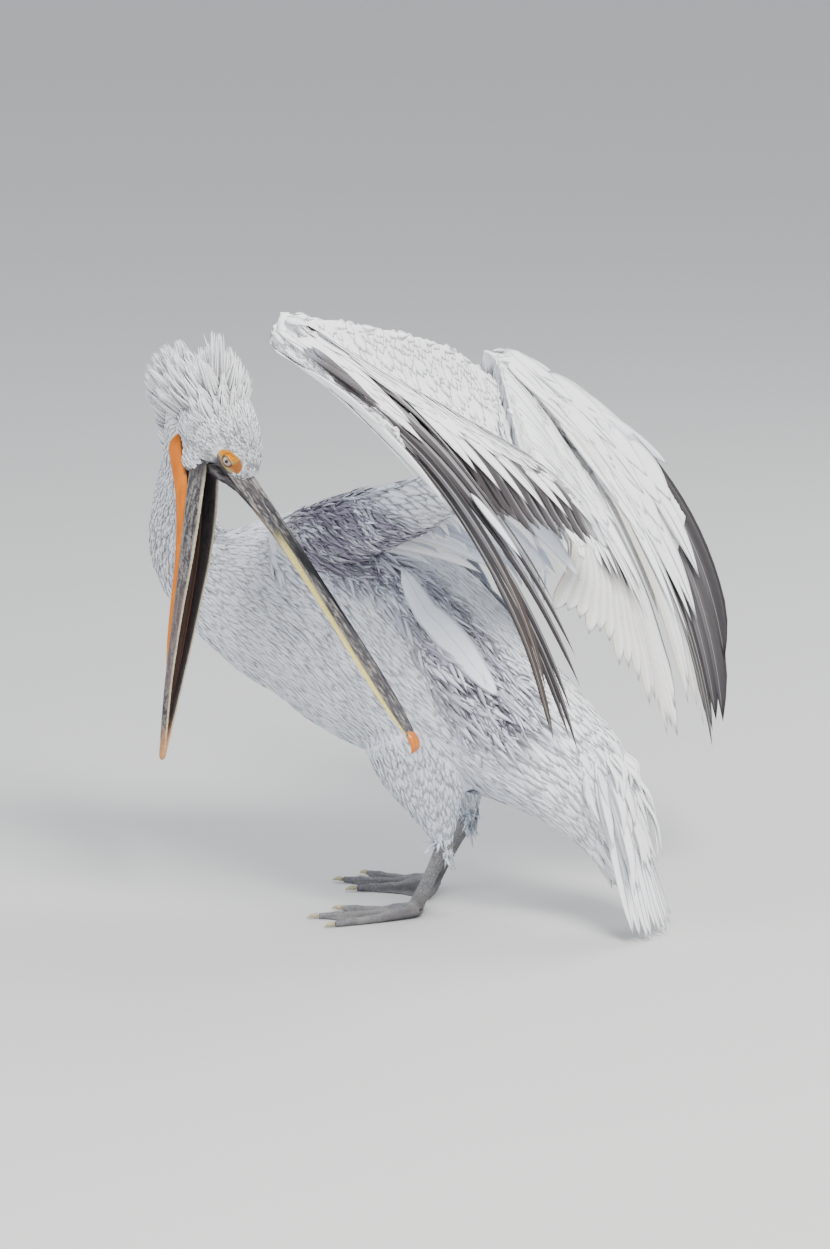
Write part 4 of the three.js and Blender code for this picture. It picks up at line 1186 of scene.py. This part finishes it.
def makeScapulars(sideName):
    wing, kinds, rings = wings[sideName], scapulars[sideName], scapulars["rings"]
    outward = unit((wing["up"] * 0.9, 0.1, 0.42))
    t = np.linspace(0, 1, rings)
    lines, widths = [], []
    for tier, (count, reach, width) in enumerate(scapulars["tiers"]):
        for i in range(count):
            share = (i + 0.5) / count
            start = wing["armPath"](0.16 + 0.76 * share)
            tip = mix(start, mix(*wing["scapularTips"], share), reach)
            lift = outward * (0.010 + 0.004 * tier) * (0.4 + 0.6 * t)[:, None]
            lines.append(arc(start, np.array((0, 0.008, 0.016)), tip, t) + lift)
            widths.append(width)
    lines = np.array(lines) + draw.standard_normal((len(lines), 1, 3)) * 0.004
    halves = np.array(widths)[:, None] / 2 * profile(0.6, 0.9, 1.0, 1.0, 0.85, 0.5, 0.05)(t)
    tint = np.array([colours[kinds[i % len(kinds)]] for i in range(len(lines))])
    # darker towards the roots: painted shade
    tones = tint[:, None] * np.linspace(0.9, 0.98, rings)[:, None]
    feathers(f"scapularFeathers_{sideName}", lines, outward, halves, scapulars["thickness"], tones,
             "white_feather", f"scapulars_{sideName}")


# alulas; quills: side, root, tip, width
alula = {"quills": ((0.97, 0.06, 0.24, 0.015), (0.87, 0.05, 0.26, 0.017), (0.77, 0.05, 0.235, 0.017),
                    (0.67, 0.05, 0.20, 0.015)), "rings": 10, "thickness": 0.0012}


def makeAlula(sideName):
    wing = wings[sideName]
    t = np.linspace(0, 1, alula["rings"])
    lines = []
    for i, (side, begin, end, width) in enumerate(alula["quills"]):
        u = np.full(len(t), wing["alulaSide"] + (side - 0.94))
        lines.append(handPlace(wing, u, mix(begin, end, t)) + wing["alulaLift"] * (0.62 + 0.10 * i))
    halves = np.array(alula["quills"])[:, 3:] / 2 * profile(0.55, 0.95, 1.0, 0.9, 0.6, 0.08)(t)
    dark = mix(colours["slate"], colours["black"], 0.4)
    tones = mix(colours["grey"] * 0.8, dark, rise(t, 0.0, 0.3)[:, None])
    if wing["up"] < 0:
        tones = mix(colours["white"] * 0.95, colours["blueWhite"], t[:, None])
    feathers(f"alulaFeathers_{sideName}", np.array(lines), unit(wing["alulaLift"]), halves,
             alula["thickness"], tones, "dark_vane", f"alula_{sideName}", look=vane, camber=0.14)


# single feathers that stand out of line: wing, along, root and tip across it, turned outwards, width, lift
strays = {"rings": 12, "thickness": 0.0010, "feathers": [
    ("right", 0.97, 0.24, 0.50, 0.034, 0.019, 0.010), ("right", 0.90, 0.26, 0.44, 0.022, 0.015, 0.012),
    ("right", 0.98, 0.02, 0.12, 0.010, 0.012, 0.008), ("left", 0.34, 0.50, 0.68, -0.004, 0.011, 0.010),
]}


def makeStrayFeathers():
    t = np.linspace(0, 1, strays["rings"])
    lines, ups, halves = [], [], []
    for sideName, along, begin, end, outwards, width, lift in strays["feathers"]:
        wing = wings[sideName]
        u, v = np.full(len(t), along), mix(begin, end, t)
        ups.append(sheetUp(handPlace, wing, u, v))
        outward = unit(wing["handRoots"][1] - wing["handRoots"][0])
        lines.append(handPlace(wing, u, v) + ups[-1] * lift + outward * (outwards * t**1.5)[:, None])
        halves.append(width / 2 * profile(0.4, 0.85, 1.0, 0.9, 0.6, 0.05)(t))
    tones = mix(colours["white"] * 0.95, colours["blueWhite"], t[:, None])
    lines, ups, halves = map(np.array, (lines, ups, halves))
    feathers("strayFeathers", lines, ups, halves, strays["thickness"], tones, "white_feather")


makeStrayFeathers()
for sideName in sides:
    makeScapulars(sideName)
    makeAlula(sideName)
print("scapulars and alulas made")

# upper bill: half width and height along it in mm, rings as place along, x, y and half sizes in metres
upperBill = {
    "width": profile(16.5, 16.5, 17, 18, 20, 21.5, 20, 11),
    "height": profile(13.5, 10.5, 7.8, 6.2, 5.4, 5.0, 4.8, 4),
    "rings": 22,
    "rootRings": [(-0.050, 0, -0.015, 0.011, 0.010), (-0.036, 0, -0.013, 0.0150, 0.0125),
                  (-0.020, 0, -0.009, 0.0165, 0.0138)],
}
billMatrix = frameMatrix(billBase, rightward, crownUp, forward)


def billLocal(points):
    offset = points - billBase
    return np.stack([offset @ rightward, offset @ crownUp, (offset @ forward) / culmenLength], axis=1)


def drawnOut(x, y, t, scales, size, seed):  # a mottling that is drawn out along the bill
    return mottleNoise(np.stack([x, y, t], axis=1) * scales / 1000, size, seed)


def upperBillTone(x, y, t):
    across = x / (upperBill["width"](t) / 1000)  # 1 at the bird's right edge
    streak = drawnOut(x, y, t, (3000, 3000, 90), 0.006, 3.0)
    fleck = drawnOut(x, y, t, (6000, 5000, 320), 0.005, 8.0)
    # edge: where the painted shadow on the bill's top begins across it, reaching less far across towards the
    # tip
    edge = mix(1.15, -0.5, rise(t, 0.16, 0.62))
    yellow = rise(across, 0.70, 0.84) * rise(t, 0.16, 0.28) + rise(-across, 0.86, 0.94) * rise(t, 0.3, 0.5)
    tone = layers(
        paint(98, 95, 101),
        (paint(214, 206, 192), rise(streak, 0.45, 0.75) * 0.9 * (1 - 0.5 * rise(t, 0.4, 0.7))),
        (paint(170, 148, 128), 0.5 * rise(t, 0.16, 0.0) * rise(fleck, 0.3, 0.6)),
        (paint(60, 57, 62), rise(fleck, 0.46, 0.66) * 0.85),
        # near black on the bird's left part of the bill's top: painted shadow over the bill's own dark grey
        (paint(34, 32, 35), rise(-across, -edge, -edge + 0.3) * rise(t, 0.10, 0.3)),
        (paint(238, 220, 132), np.clip(yellow, 0, 1)),
    )
    under = y < -0.002 - 0.010 * (1 - rise(t, 0, 0.12))
    tone[under] = mix(paint(150, 132, 112), paint(104, 94, 88), streak[under][:, None])
    return layers(tone, (paint(44, 40, 42), rise(-y, 0.008, 0.012) * (1 - rise(t, 0.04, 0.14))))


def makeUpperBill():
    rings = list(upperBill["rootRings"])
    for share in np.linspace(0, 1, upperBill["rings"]):
        sag = -0.004 * (1 - rise(share, 0, 0.3)) + 0.002 * math.sin(math.pi * share)
        half, tall = (float(upperBill[key](share)) / 1000 for key in ("width", "height"))
        rings.append((share * (culmenLength - 0.014), 0, sag, half, tall))
    piece = ringForm("upperBill", rings, 20, billMatrix)
    co = coordsOf(piece)
    x, y, t = billLocal(co).T
    across = np.clip(np.abs(x) / (upperBill["width"](t) / 1000), 0, 1.2)
    ridge = 0.0022 * np.exp(-((across / 0.22) ** 2)) * (1 - rise(t, 0.92, 1.0)) * rise(t, -0.02, 0.05)
    groove = -0.0012 * np.exp(-(((across - 0.45) / 0.10) ** 2)) * rise(t, 0.03, 0.1)
    setCoords(piece, co + crownUp * np.where(y > 0, ridge + groove, -0.4 * ridge)[:, None])
    setTone(piece, upperBillTone(x, y, t))
    settle(piece, "bill_horn", hornLook.material, "upper_bill")


hornLook = Look("billHorn", Specular_IOR_Level=0.4)
fine, coarse = hornLook.speckle(420.0, 4.0, 0.6), hornLook.speckle(90.0, 3.0, 0.6)
hornLook.put(hornLook.base, "Roughness", hornLook.ramp(coarse, 0.35, 0.65, 0.34, 0.55))
relief = hornLook.math("ADD", fine, coarse)
hornLook.finish(fine, 0.42, 0.62, 0.0, 0.4, (0.45, 0.44, 0.45), 0.35, 0.0006, relief)
makeUpperBill()

# the dark bare skin that joins the two bills at the gape
gapeShape = {"fold": 0.0009, "rings": [
    (-0.060, 0, -0.034, 0.012, 0.006), (-0.048, 0, -0.033, 0.0175, 0.0095),
    (-0.034, 0, -0.0285, 0.0185, 0.0115), (-0.020, 0, -0.0205, 0.0185, 0.0095),
    (-0.006, 0, -0.0145, 0.0178, 0.0072), (0.012, 0, -0.0105, 0.0172, 0.0050),
    (0.034, 0, -0.0080, 0.0160, 0.0032), (0.055, 0, -0.0062, 0.0140, 0.0016),
]}


def makeGape():
    piece = ringForm("gapeSkin", gapeShape["rings"], 20, billMatrix)
    co = coordsOf(piece)
    fold = grain(co, 0.006, 3.0) * gapeShape["fold"]
    setCoords(piece, co + normalsOf(piece) * fold[:, None])
    pale = 0.7 * rise(mottleNoise(co, 0.007, 5.0), 0.45, 0.8)
    setTone(piece, layers(paint(40, 37, 40), (paint(104, 98, 98), pale)))
    look = Look("gapeSkin", Roughness=0.5)
    look.finish(look.speckle(500.0, 4.0, 0.6), 0.35, 0.65, 0.0, 0.35, (0.5, 0.48, 0.48), 0.5, 0.0006)
    settle(piece, "pouch_skin", look.material)


makeGape()

# nail
nailShape = {"tone": paint(212, 112, 6), "pale": paint(222, 156, 56), "rings": [
    (-0.030, 0, -0.001, 0.006, 0.0035), (-0.022, 0, 0.0005, 0.0095, 0.0056),
    (-0.012, 0, 0.0005, 0.0100, 0.0060), (-0.004, 0, -0.002, 0.0088, 0.0062),
    (0.001, 0, -0.007, 0.0068, 0.0066), (0.0015, 0, -0.012, 0.0042, 0.0055),
    (0.0005, 0, -0.0155, 0.0022, 0.0035),
]}


def makeNail():
    matrix = frameMatrix(billBase + forward * culmenLength, rightward, crownUp, forward)
    piece = ringForm("billNail", nailShape["rings"], 16, matrix)
    co = coordsOf(piece)
    pale = 0.6 * mottleNoise(co, 0.004, 2.0) * rise(billLocal(co)[:, 1], -0.004, 0.004)
    setTone(piece, layers(nailShape["tone"], (nailShape["pale"], pale)))
    look = Look("nailHorn", Roughness=0.3, Coat_Weight=0.2, Coat_Roughness=0.2)
    look.finish(look.speckle(500.0), 0.4, 0.7, 0.0, 0.3, (0.6, 0.45, 0.35), 0.25, 0.0003)
    settle(piece, "bill_nail", look.material, "bill_nail")


makeNail()

# lower bill
lowerBill = {
    "spread": profile(19, 24, 26, 25, 22, 17, 9, 0.5),
    "depth": profile(13.5, 12.6, 10.6, 8.2, 6.8, 5.8, 5.2, 4.6),
    "centre": profile(-9, -4.2, -1.4, -1.4, -1.8, -2.4, -2.4, -2.0),
    "thickness": profile(3.6, 3.4, 3.2, 3.1, 3.1, 3.5, 4.2, 3.4),
    "rings": 22, "voxel": 0.0014, "smoothRounds": 3,
    "rootRings": [(-0.040, 0.0170, -0.0280, 0.0036, 0.0085), (-0.0300, 0.0182, -0.0210, 0.0038, 0.0120)],
}


def lowerLocal(points):
    offset = points - lowerBase
    return np.stack([offset @ lowerRight, offset @ lowerUp, (offset @ lowerForward) / lowerLength], axis=1)


def lowerBillTone(x, y, t):
    pale = paint(216, 204, 176)
    streak = drawnOut(x, y, t, (4000, 2500, 70), 0.006, 6.0)
    fleck = drawnOut(x, y, t, (6000, 5000, 300), 0.005, 4.0)
    height = (y * 1000 - lowerBill["centre"](t)) / lowerBill["depth"](t)
    rim = rise(height, 0.62, 0.86)
    # inner: the branches' inner faces, painted near black as shade inside the bill
    inner = rise(lowerBill["spread"](t) / 1000 - np.abs(x), 0.0002, 0.0016)
    inner = inner * (1 - rim) * (1 - rise(t, 0.9, 0.97))
    return layers(
        paint(50, 47, 50),
        (paint(126, 121, 118), rise(streak * 0.6 + fleck * 0.4, 0.35, 0.7)),
        (paint(98, 84, 84), rise(t, 0.3, 0.45) * (1 - rise(t, 0.7, 0.8)) * 0.6),
        (pale, rim * (0.7 + 0.3 * streak)),
        (pale * 0.8, (1 - rise(height, -0.95, -0.7)) * 0.5),
        (paint(42, 38, 40), inner * 0.9),
        (paint(52, 48, 50), 0.8 * (1 - rise(t, -0.03, 0.05))),
        (paint(204, 142, 84), rise(t, 0.84, 0.99) * 0.8),
    )


def makeLowerBill():
    shape = lowerBill
    branches = []
    for sign in (1, -1):
        rings = [(along, sign * x, y, half, tall) for along, x, y, half, tall in shape["rootRings"]]
        for share in np.linspace(-0.045, 1, shape["rings"]):
            spread, depth, centre, thickness = (float(shape[key](share)) / 1000 for key in
                                                ("spread", "depth", "centre", "thickness"))
            rings.append((share * lowerLength, sign * spread, centre, thickness, depth))
        matrix = frameMatrix(lowerBase, lowerRight, lowerUp, lowerForward)
        branches.append(ringForm("lowerBill", rings, 12, matrix))
    piece = joined(*branches)
    remesh(piece, shape["voxel"], shape["smoothRounds"])
    shadeSmooth(piece)
    setTone(piece, lowerBillTone(*lowerLocal(coordsOf(piece)).T))
    settle(piece, "bill_horn", hornLook.material, "lower_bill")


makeLowerBill()
print("bills made")

# pouch; in mm along the lower bill: the edges under its two branches, the fold's lowest line, half the width
pouchShape = {
    "along": (-40, -30, -15, 10, 40, 80, 120, 170, 230, 290, 340, 384),
    "edge": (-48, -40, -30, -22, -16, -12, -9.5, -8, -7, -5, -4, -3),
    "fold": (-60, -67, -64, -53, -41, -31.5, -24.5, -21.8, -18.5, -9.5, -5, -3.5),
    "half": (8, 14, 17.5, 20.5, 22.5, 24.5, 25.5, 24.5, 21, 15, 9, 2.5), "close": 12,
    "rows": 90, "columns": 40, "wall": 0.0014, "wrinkle": 0.0005,
}


def pouchFacing(piece):  # over 0 where the pouch's skin faces outwards
    x, y, _ = lowerLocal(coordsOf(piece)).T
    normal = normalsOf(piece)
    return normal @ lowerRight * x + normal @ lowerUp * (y + 0.004)


def makePouch():
    shape = pouchShape
    along = np.linspace(shape["along"][0], shape["along"][-1], shape["rows"])
    edge, fold, half = (np.interp(along, shape["along"], shape[key]) for key in ("edge", "fold", "half"))
    edge, fold, half = (np.convolve(np.pad(line, 3, "edge"), np.ones(7) / 7, "valid")
                        for line in (edge, fold, half))
    closing = np.sqrt(np.clip((along - along[0]) / shape["close"], 0.0004, 1))
    half, edge, fold = half * closing, mix(edge - 8, edge, closing), mix(edge - 10, fold, closing)
    turn = np.linspace(0, np.pi, shape["columns"])
    x = half[:, None] * np.cos(turn) * (1 - 0.12 * np.sin(turn) ** 2)
    y = edge[:, None] + (fold - edge)[:, None] * np.sin(turn) ** 0.7
    wave = shape["wrinkle"] * 1000 * np.sin(turn * 17) * np.clip((edge - fold) / 12, 0, 1)[:, None]
    place = x[..., None] * lowerRight + (y - wave)[..., None] * lowerUp + along[:, None, None] * lowerForward
    points = (lowerBase + place / 1000).reshape(-1, 3)
    piece = meshPiece("pouchSkin", points, [gridFaces(shape["rows"], shape["columns"])])
    facesOut(piece)
    if pouchFacing(piece).mean() < 0:
        piece.data.flip_normals()
    modify(piece, "SOLIDIFY", thickness=shape["wall"], offset=-1)
    co = coordsOf(piece)
    t = lowerLocal(co)[:, 2]
    streak = mottleNoise(co * (1, 1, 0.35), 0.008, 5.0)
    tone = layers(paint(214, 118, 0), (paint(186, 92, 0), streak * 0.7),
                  (paint(228, 142, 0), rise(t, 0.2, 0.6) * 0.25), (paint(120, 96, 82), rise(t, 0.66, 0.8)))
    # the pouch's inner side, painted dark brown: painted shade inside the pouch
    tone[pouchFacing(piece) < 0] = paint(58, 42, 36)
    setTone(piece, tone)
    look = Look("pouchSkin", Roughness=0.5, Specular_IOR_Level=0.25)
    fine = look.speckle(260.0, 4.0, 0.6, (1.6, 1.6, 0.5))
    look.finish(fine, 0.35, 0.65, 0.0, 0.3, (0.72, 0.5, 0.4), 0.4, 0.0008)
    settle(piece, "pouch_skin", look.material, "pouch")
    shadeSmooth(piece)


makePouch()


# eyes and the bare face
def eyeAxes(side):
    out = unit(rightward * sideSign[side] + forward * 0.10 + crownUp * 0.06)
    ahead = unit(forward - out * (forward @ out))
    return ahead, unit(np.cross(out, ahead)) * sideSign[side], out


def makeEye(side):
    clearSelection()
    bpy.ops.mesh.primitive_uv_sphere_add(segments=40, ring_count=24, radius=eyeRadius)
    piece = bpy.context.object
    piece.name = f"eye_{side}Ball"
    editAll(piece, bpy.ops.mesh.subdivide, number_cuts=1)
    co = unit(coordsOf(piece))
    away = np.degrees(np.arccos(np.clip(co[:, 2], -1, 1)))
    co = co * eyeRadius * (1 + 0.055 * (1 - rise(away, 12, 40)))[:, None]
    around = np.arctan2(co[:, 1], co[:, 0])
    rays = 0.5 + 0.5 * np.sin(around * 23 + 2 * np.sin(around * 7))
    iris = layers(paint(184, 168, 160), (paint(116, 98, 92), 0.35 * rays + 0.45 * rise(away, 36, 48)))
    # the darker ring beyond the iris, where the lids meet the ball, is painted shade under the lid rims
    tone = layers(paint(8, 8, 10), (iris, rise(away, 16, 18.5)), (paint(66, 54, 50), rise(away, 47, 54)))
    setCoords(piece, co @ np.stack(eyeAxes(side)) + eyeCentre[side])
    setTone(piece, tone)
    facesOut(piece)
    shadeSmooth(piece)
    look = Look(f"eyeWet_{side}", Roughness=0.3, Coat_Weight=0.35, Coat_Roughness=0.04)
    look.colour(look.tone())
    settle(piece, "eye", look.material, f"eye_{side}")


faceShape = {"lidRings": 12, "cheekRings": 22, "spokes": 120, "reach": 0.034, "lift": 0.0016,
             "lidGap": 0.0005, "wall": 0.0008}


def faceTone(points, centre):
    a, b = (points - centre) @ forward * 1000, (points - centre) @ crownUp * 1000
    dark = paint(84, 80, 84)
    # the gold above is the skin's own yellow with a painted highlight, and the darker orange in front is its
    # orange with painted shade
    tone = layers(paint(200, 176, 116), (paint(236, 156, 4), rise(b * 0.86 - a * 0.5, 1.0, 5.0)),
                  (paint(186, 102, 0), rise(a, 6, 10) * rise(b, -9, -2) * 0.95),
                  (dark, rise(-b - 0.35 * a, 8.5, 12.5) * 0.95), (dark, rise(-a, 15, 19) * 0.9))
    tone = tone * (1 - 0.25 * mottleNoise(points, 0.0028, 4.0)[:, None])
    edge = rise(np.hypot((a - 2) / 19.5, b / 14.5), 0.90, 1.06)
    return layers(tone, (colours["shade"], edge * rise(b, -2, 4)))


# the lids and the bare skin round the eye, one sheet that runs from the lid rims out under the feathers
def makeFace(side):
    ahead, high, out = eyeAxes(side)
    shape, centre = faceShape, eyeCentre[side]
    spokes = np.linspace(0, 2 * math.pi, shape["spokes"], endpoint=False)
    cosA, sinA = np.cos(spokes), np.sin(spokes)
    # the lids' opening, in radians on the ball: long ahead and behind, low above and below
    opening = np.radians(mix(61, 36, np.abs(sinA) ** 1.5) * np.where(sinA > 0, mix(1.0, 0.66, sinA), 1.0))
    lidOuter = math.radians(80)
    direction = ahead * cosA[:, None] + high * sinA[:, None]

    def onBall(angle, radius):
        return centre + (out * np.cos(angle)[:, None] + direction * np.sin(angle)[:, None]) * radius

    grid, shares = [onBall(opening, eyeRadius - 0.0010)], [0.0]
    for k in range(shape["lidRings"]):  # over the ball, from the rim outwards
        s = k / (shape["lidRings"] - 1)
        radius = eyeRadius + shape["lidGap"] + 0.0013 * math.sin(math.pi * min(1, s * 1.6 + 0.15)) + 0.0004
        grid.append(onBall(mix(opening, lidOuter, s), radius))
        shares.append(s * 0.4)
    edge = grid[-1]
    for k in range(shape["cheekRings"]):  # on over the cheek and lore
        s = (k + 1) / shape["cheekRings"]
        reach = mix(eyeRadius * math.sin(lidOuter), shape["reach"], s)
        stretched = direction * reach * np.where(cosA > 0, 1.12, 0.9)[:, None]
        places, tri, weights = onSkin(centre + stretched + out * 0.002)
        normal = unit(skinValue("normal", tri, weights))
        fold = 0.0009 * np.sin(s * 9.0 + 0.6 * np.sin(spokes * 2)) * (1 - s)
        target = places + normal * (shape["lift"] * (1 - s) - 0.0012 * s + fold)[:, None]
        grid.append(mix(edge, target, rise(s, -0.15, 0.45)))
        shares.append(0.4 + 0.6 * s)
    points = np.array(grid).reshape(-1, 3)
    tone = faceTone(points, centre)
    tone[np.repeat(shares, shape["spokes"]) < 0.06] = paint(110, 78, 40)
    faces = gridFaces(len(grid), shape["spokes"], closed=True)[:, ::-sideSign[side]]
    piece = meshPiece(f"faceSkin_{side}", points, [faces], np.clip(tone, 0, 1))
    modify(piece, "SOLIDIFY", thickness=shape["wall"], offset=-1)
    look = Look(f"faceSkin_{side}", Roughness=0.5, Coat_Weight=0.08)
    look.finish(look.speckle(700.0, 4.0, 0.6), 0.35, 0.65, 0.0, 0.3, (0.62, 0.52, 0.44), 0.5, 0.0005)
    settle(piece, "pouch_skin", look.material)


for sideName in sides:
    makeEye(sideName)
    makeFace(sideName)
print("eyes and face made")

# legs
legShape = {"voxel": 0.0016, "smoothRounds": 4, "scales": (210.0, 0.12), "grains": (520.0, 0.1)}


def makeLegLook():
    look = Look("legScales", Roughness=0.55, Specular_IOR_Level=0.4)
    source = look.place()

    def cells(size, edge):
        made = look.node("TexVoronoi", {"feature": "DISTANCE_TO_EDGE"}, Vector=source, Scale=size)
        return look.ramp(made.outputs[0], 0.0, edge)

    plates, grains = cells(*legShape["scales"]), cells(*legShape["grains"])
    colour = look.blend(plates, (0.10, 0.10, 0.11), look.tone())
    dust = look.ramp(look.speckle(40.0, 4.0), 0.45, 0.75, 0.0, 0.5)
    look.colour(look.blend(dust, colour, (0.30, 0.29, 0.27)))
    return look.bump(look.math("ADD", plates, look.math("MULTIPLY", grains, 0.4)), 0.55, 0.0009)


def makeClawLook():
    look = Look("clawHorn", Roughness=0.35, Coat_Weight=0.15)
    fine = look.speckle(600.0)
    look.colour(look.blend(look.ramp(fine, 0.35, 0.65), (0.30, 0.24, 0.14), (0.46, 0.38, 0.24)))
    return look.bump(fine, 0.2, 0.0003)


legLook, clawLook = makeLegLook(), makeClawLook()
clawShape = {"length": 0.0155, "rings": [
    (0.0, 0, 0, 0.0034, 0.0038), (0.3, 0, 0.0005, 0.0031, 0.0034), (0.6, 0, 0.0004, 0.0023, 0.0026),
    (0.85, 0, -0.0010, 0.0013, 0.0016), (1.0, 0, -0.0026, 0.0005, 0.0007),
]}


def makeLeg(side):
    leg = legs[side]
    piece = nodeCopy(f"legSkin_{side}", f"shank_{side}", f"foot_{side}")
    remesh(piece, legShape["voxel"], legShape["smoothRounds"])
    co = coordsOf(piece)
    co[:, 2] -= co[:, 2].min() * (1 - rise(co[:, 2], 0.0, 0.03))
    z = co[:, 2]
    outward = co - leg["joint"]
    reach = np.hypot(outward[:, 0], outward[:, 1])
    angle = np.degrees(np.arctan2(outward[:, 1], outward[:, 0]))
    bulge, nearToe = np.zeros((2, len(co)))
    for toe, length in legs["toes"].items():
        off = (angle - leg["heading"] - leg["sign"] * toe + 180) % 360 - 180
        onToe = np.exp(-((np.radians(off) * reach / 0.006) ** 2))
        knuckles = sum(np.exp(-(((reach - length * share) / 0.008) ** 2)) for share in (0.3, 0.58, 0.82))
        bulge += onToe * knuckles * 0.0011
        nearToe = np.maximum(nearToe, onToe)
    bulge *= rise(z, 0.002, 0.006) * (z < 0.03)
    rings = 0.0004 * np.sin(z * 1900) * rise(z, 0.03, 0.05)
    setCoords(piece, co + normalsOf(piece) * (bulge + rings)[:, None])
    tone = layers(paint(104, 100, 100), (paint(126, 126, 130), nearToe),
                  (paint(134, 134, 136), rise(z, 0.02, 0.05)))
    setTone(piece, tone * (1 - 0.25 * mottleNoise(co, 0.010, 2.0)[:, None]))
    shadeSmooth(piece)
    settle(piece, "leg_skin", legLook, f"shank_{side}", f"foot_{side}")


def makeClaws(side):
    leg = legs[side]
    for number, (toe, length) in enumerate(legs["toes"].items()):
        turn = math.radians(leg["heading"] + leg["sign"] * toe)
        away = np.array((math.cos(turn), math.sin(turn), 0.0))
        tip = np.array((*(leg["joint"][:2] + away[:2] * length), 0.0047))
        size = clawShape["length"] * (0.8 if number == 0 else 1.0)
        rings = [(share * size, x, y, half, tall) for share, x, y, half, tall in clawShape["rings"]]
        up = np.array((0, 0, 1.0))
        matrix = frameMatrix(tip, np.cross(away, up), up, away)
        piece = ringForm(f"clawHorn_{side}_{number + 1}", rings, 10, matrix)
        settle(piece, "claw_horn", clawLook, f"claw_{side}_{number + 1}")


for sideName in sides:
    makeLeg(sideName)
    makeClaws(sideName)
print("legs made")

# floor, light and camera; lamps: place from the bird, size, power and colour
stage = {"floor": 60.0, "floorTone": (0.55, 0.55, 0.54, 1), "sky": (0.80, 0.84, 0.90, 1), "middle": 0.45}
lamps = {
    "key": ((2.4, 2.6, 3.6), 1.6, 420.0, (1, 0.97, 0.93)),
    "fill": ((3.2, -2.6, 1.6), 3.0, 110.0, (0.92, 0.95, 1)),
    "back": ((-2.6, 1.0, 2.6), 2.0, 90.0, (1, 1, 1)),
}
camera = {"azimuth": 115, "elevation": 12, "distance": 9.16, "lens": 200, "height": 0.385}


def makeFloor():
    clearSelection()
    bpy.ops.mesh.primitive_plane_add(size=stage["floor"], location=(0, 0, 0))
    floor = bpy.context.object
    floor.name = "floor"
    look = Look("floorPaint", Roughness=0.9)
    look.colour(stage["floorTone"])
    floor.data.materials.append(look.material)
    world = bpy.context.scene.world or bpy.data.worlds.new("studio")
    bpy.context.scene.world = world
    world.use_nodes = True
    sky = world.node_tree.nodes["Background"]
    sky.inputs[0].default_value = stage["sky"]
    sky.inputs[1].default_value = 1.0


def aimed(name, data, place, way):  # a lamp or camera at place that looks along way
    thing = bpy.data.objects.new(name, data)
    thing.location = place
    thing.rotation_euler = Vector(way).to_track_quat("-Z", "Y").to_euler()
    bpy.context.scene.collection.objects.link(thing)
    return thing


def makeCamera():
    target = birdOrigin + (0, 0, camera["height"])
    turn, lift = math.radians(camera["azimuth"]), math.radians(camera["elevation"])
    toward = np.array((math.sin(turn) * math.cos(lift), -math.cos(turn) * math.cos(lift), math.sin(lift)))
    data = bpy.data.cameras.new("camera")
    data.lens, data.sensor_width, data.sensor_fit = camera["lens"], 36, "AUTO"
    data.clip_end = 200
    bpy.context.scene.camera = aimed("camera", data, target + toward * camera["distance"], -toward)
    for name, (offset, size, power, colour) in lamps.items():
        light = bpy.data.lights.new(name, "AREA")
        light.energy, light.size, light.color = power, size, colour
        aimed(name, light, target + offset, birdOrigin + (0, 0, stage["middle"]) - (target + offset))


makeFloor()
makeCamera()
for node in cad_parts.values():
    if not node.data.materials:
        node.data.materials.append(plume)
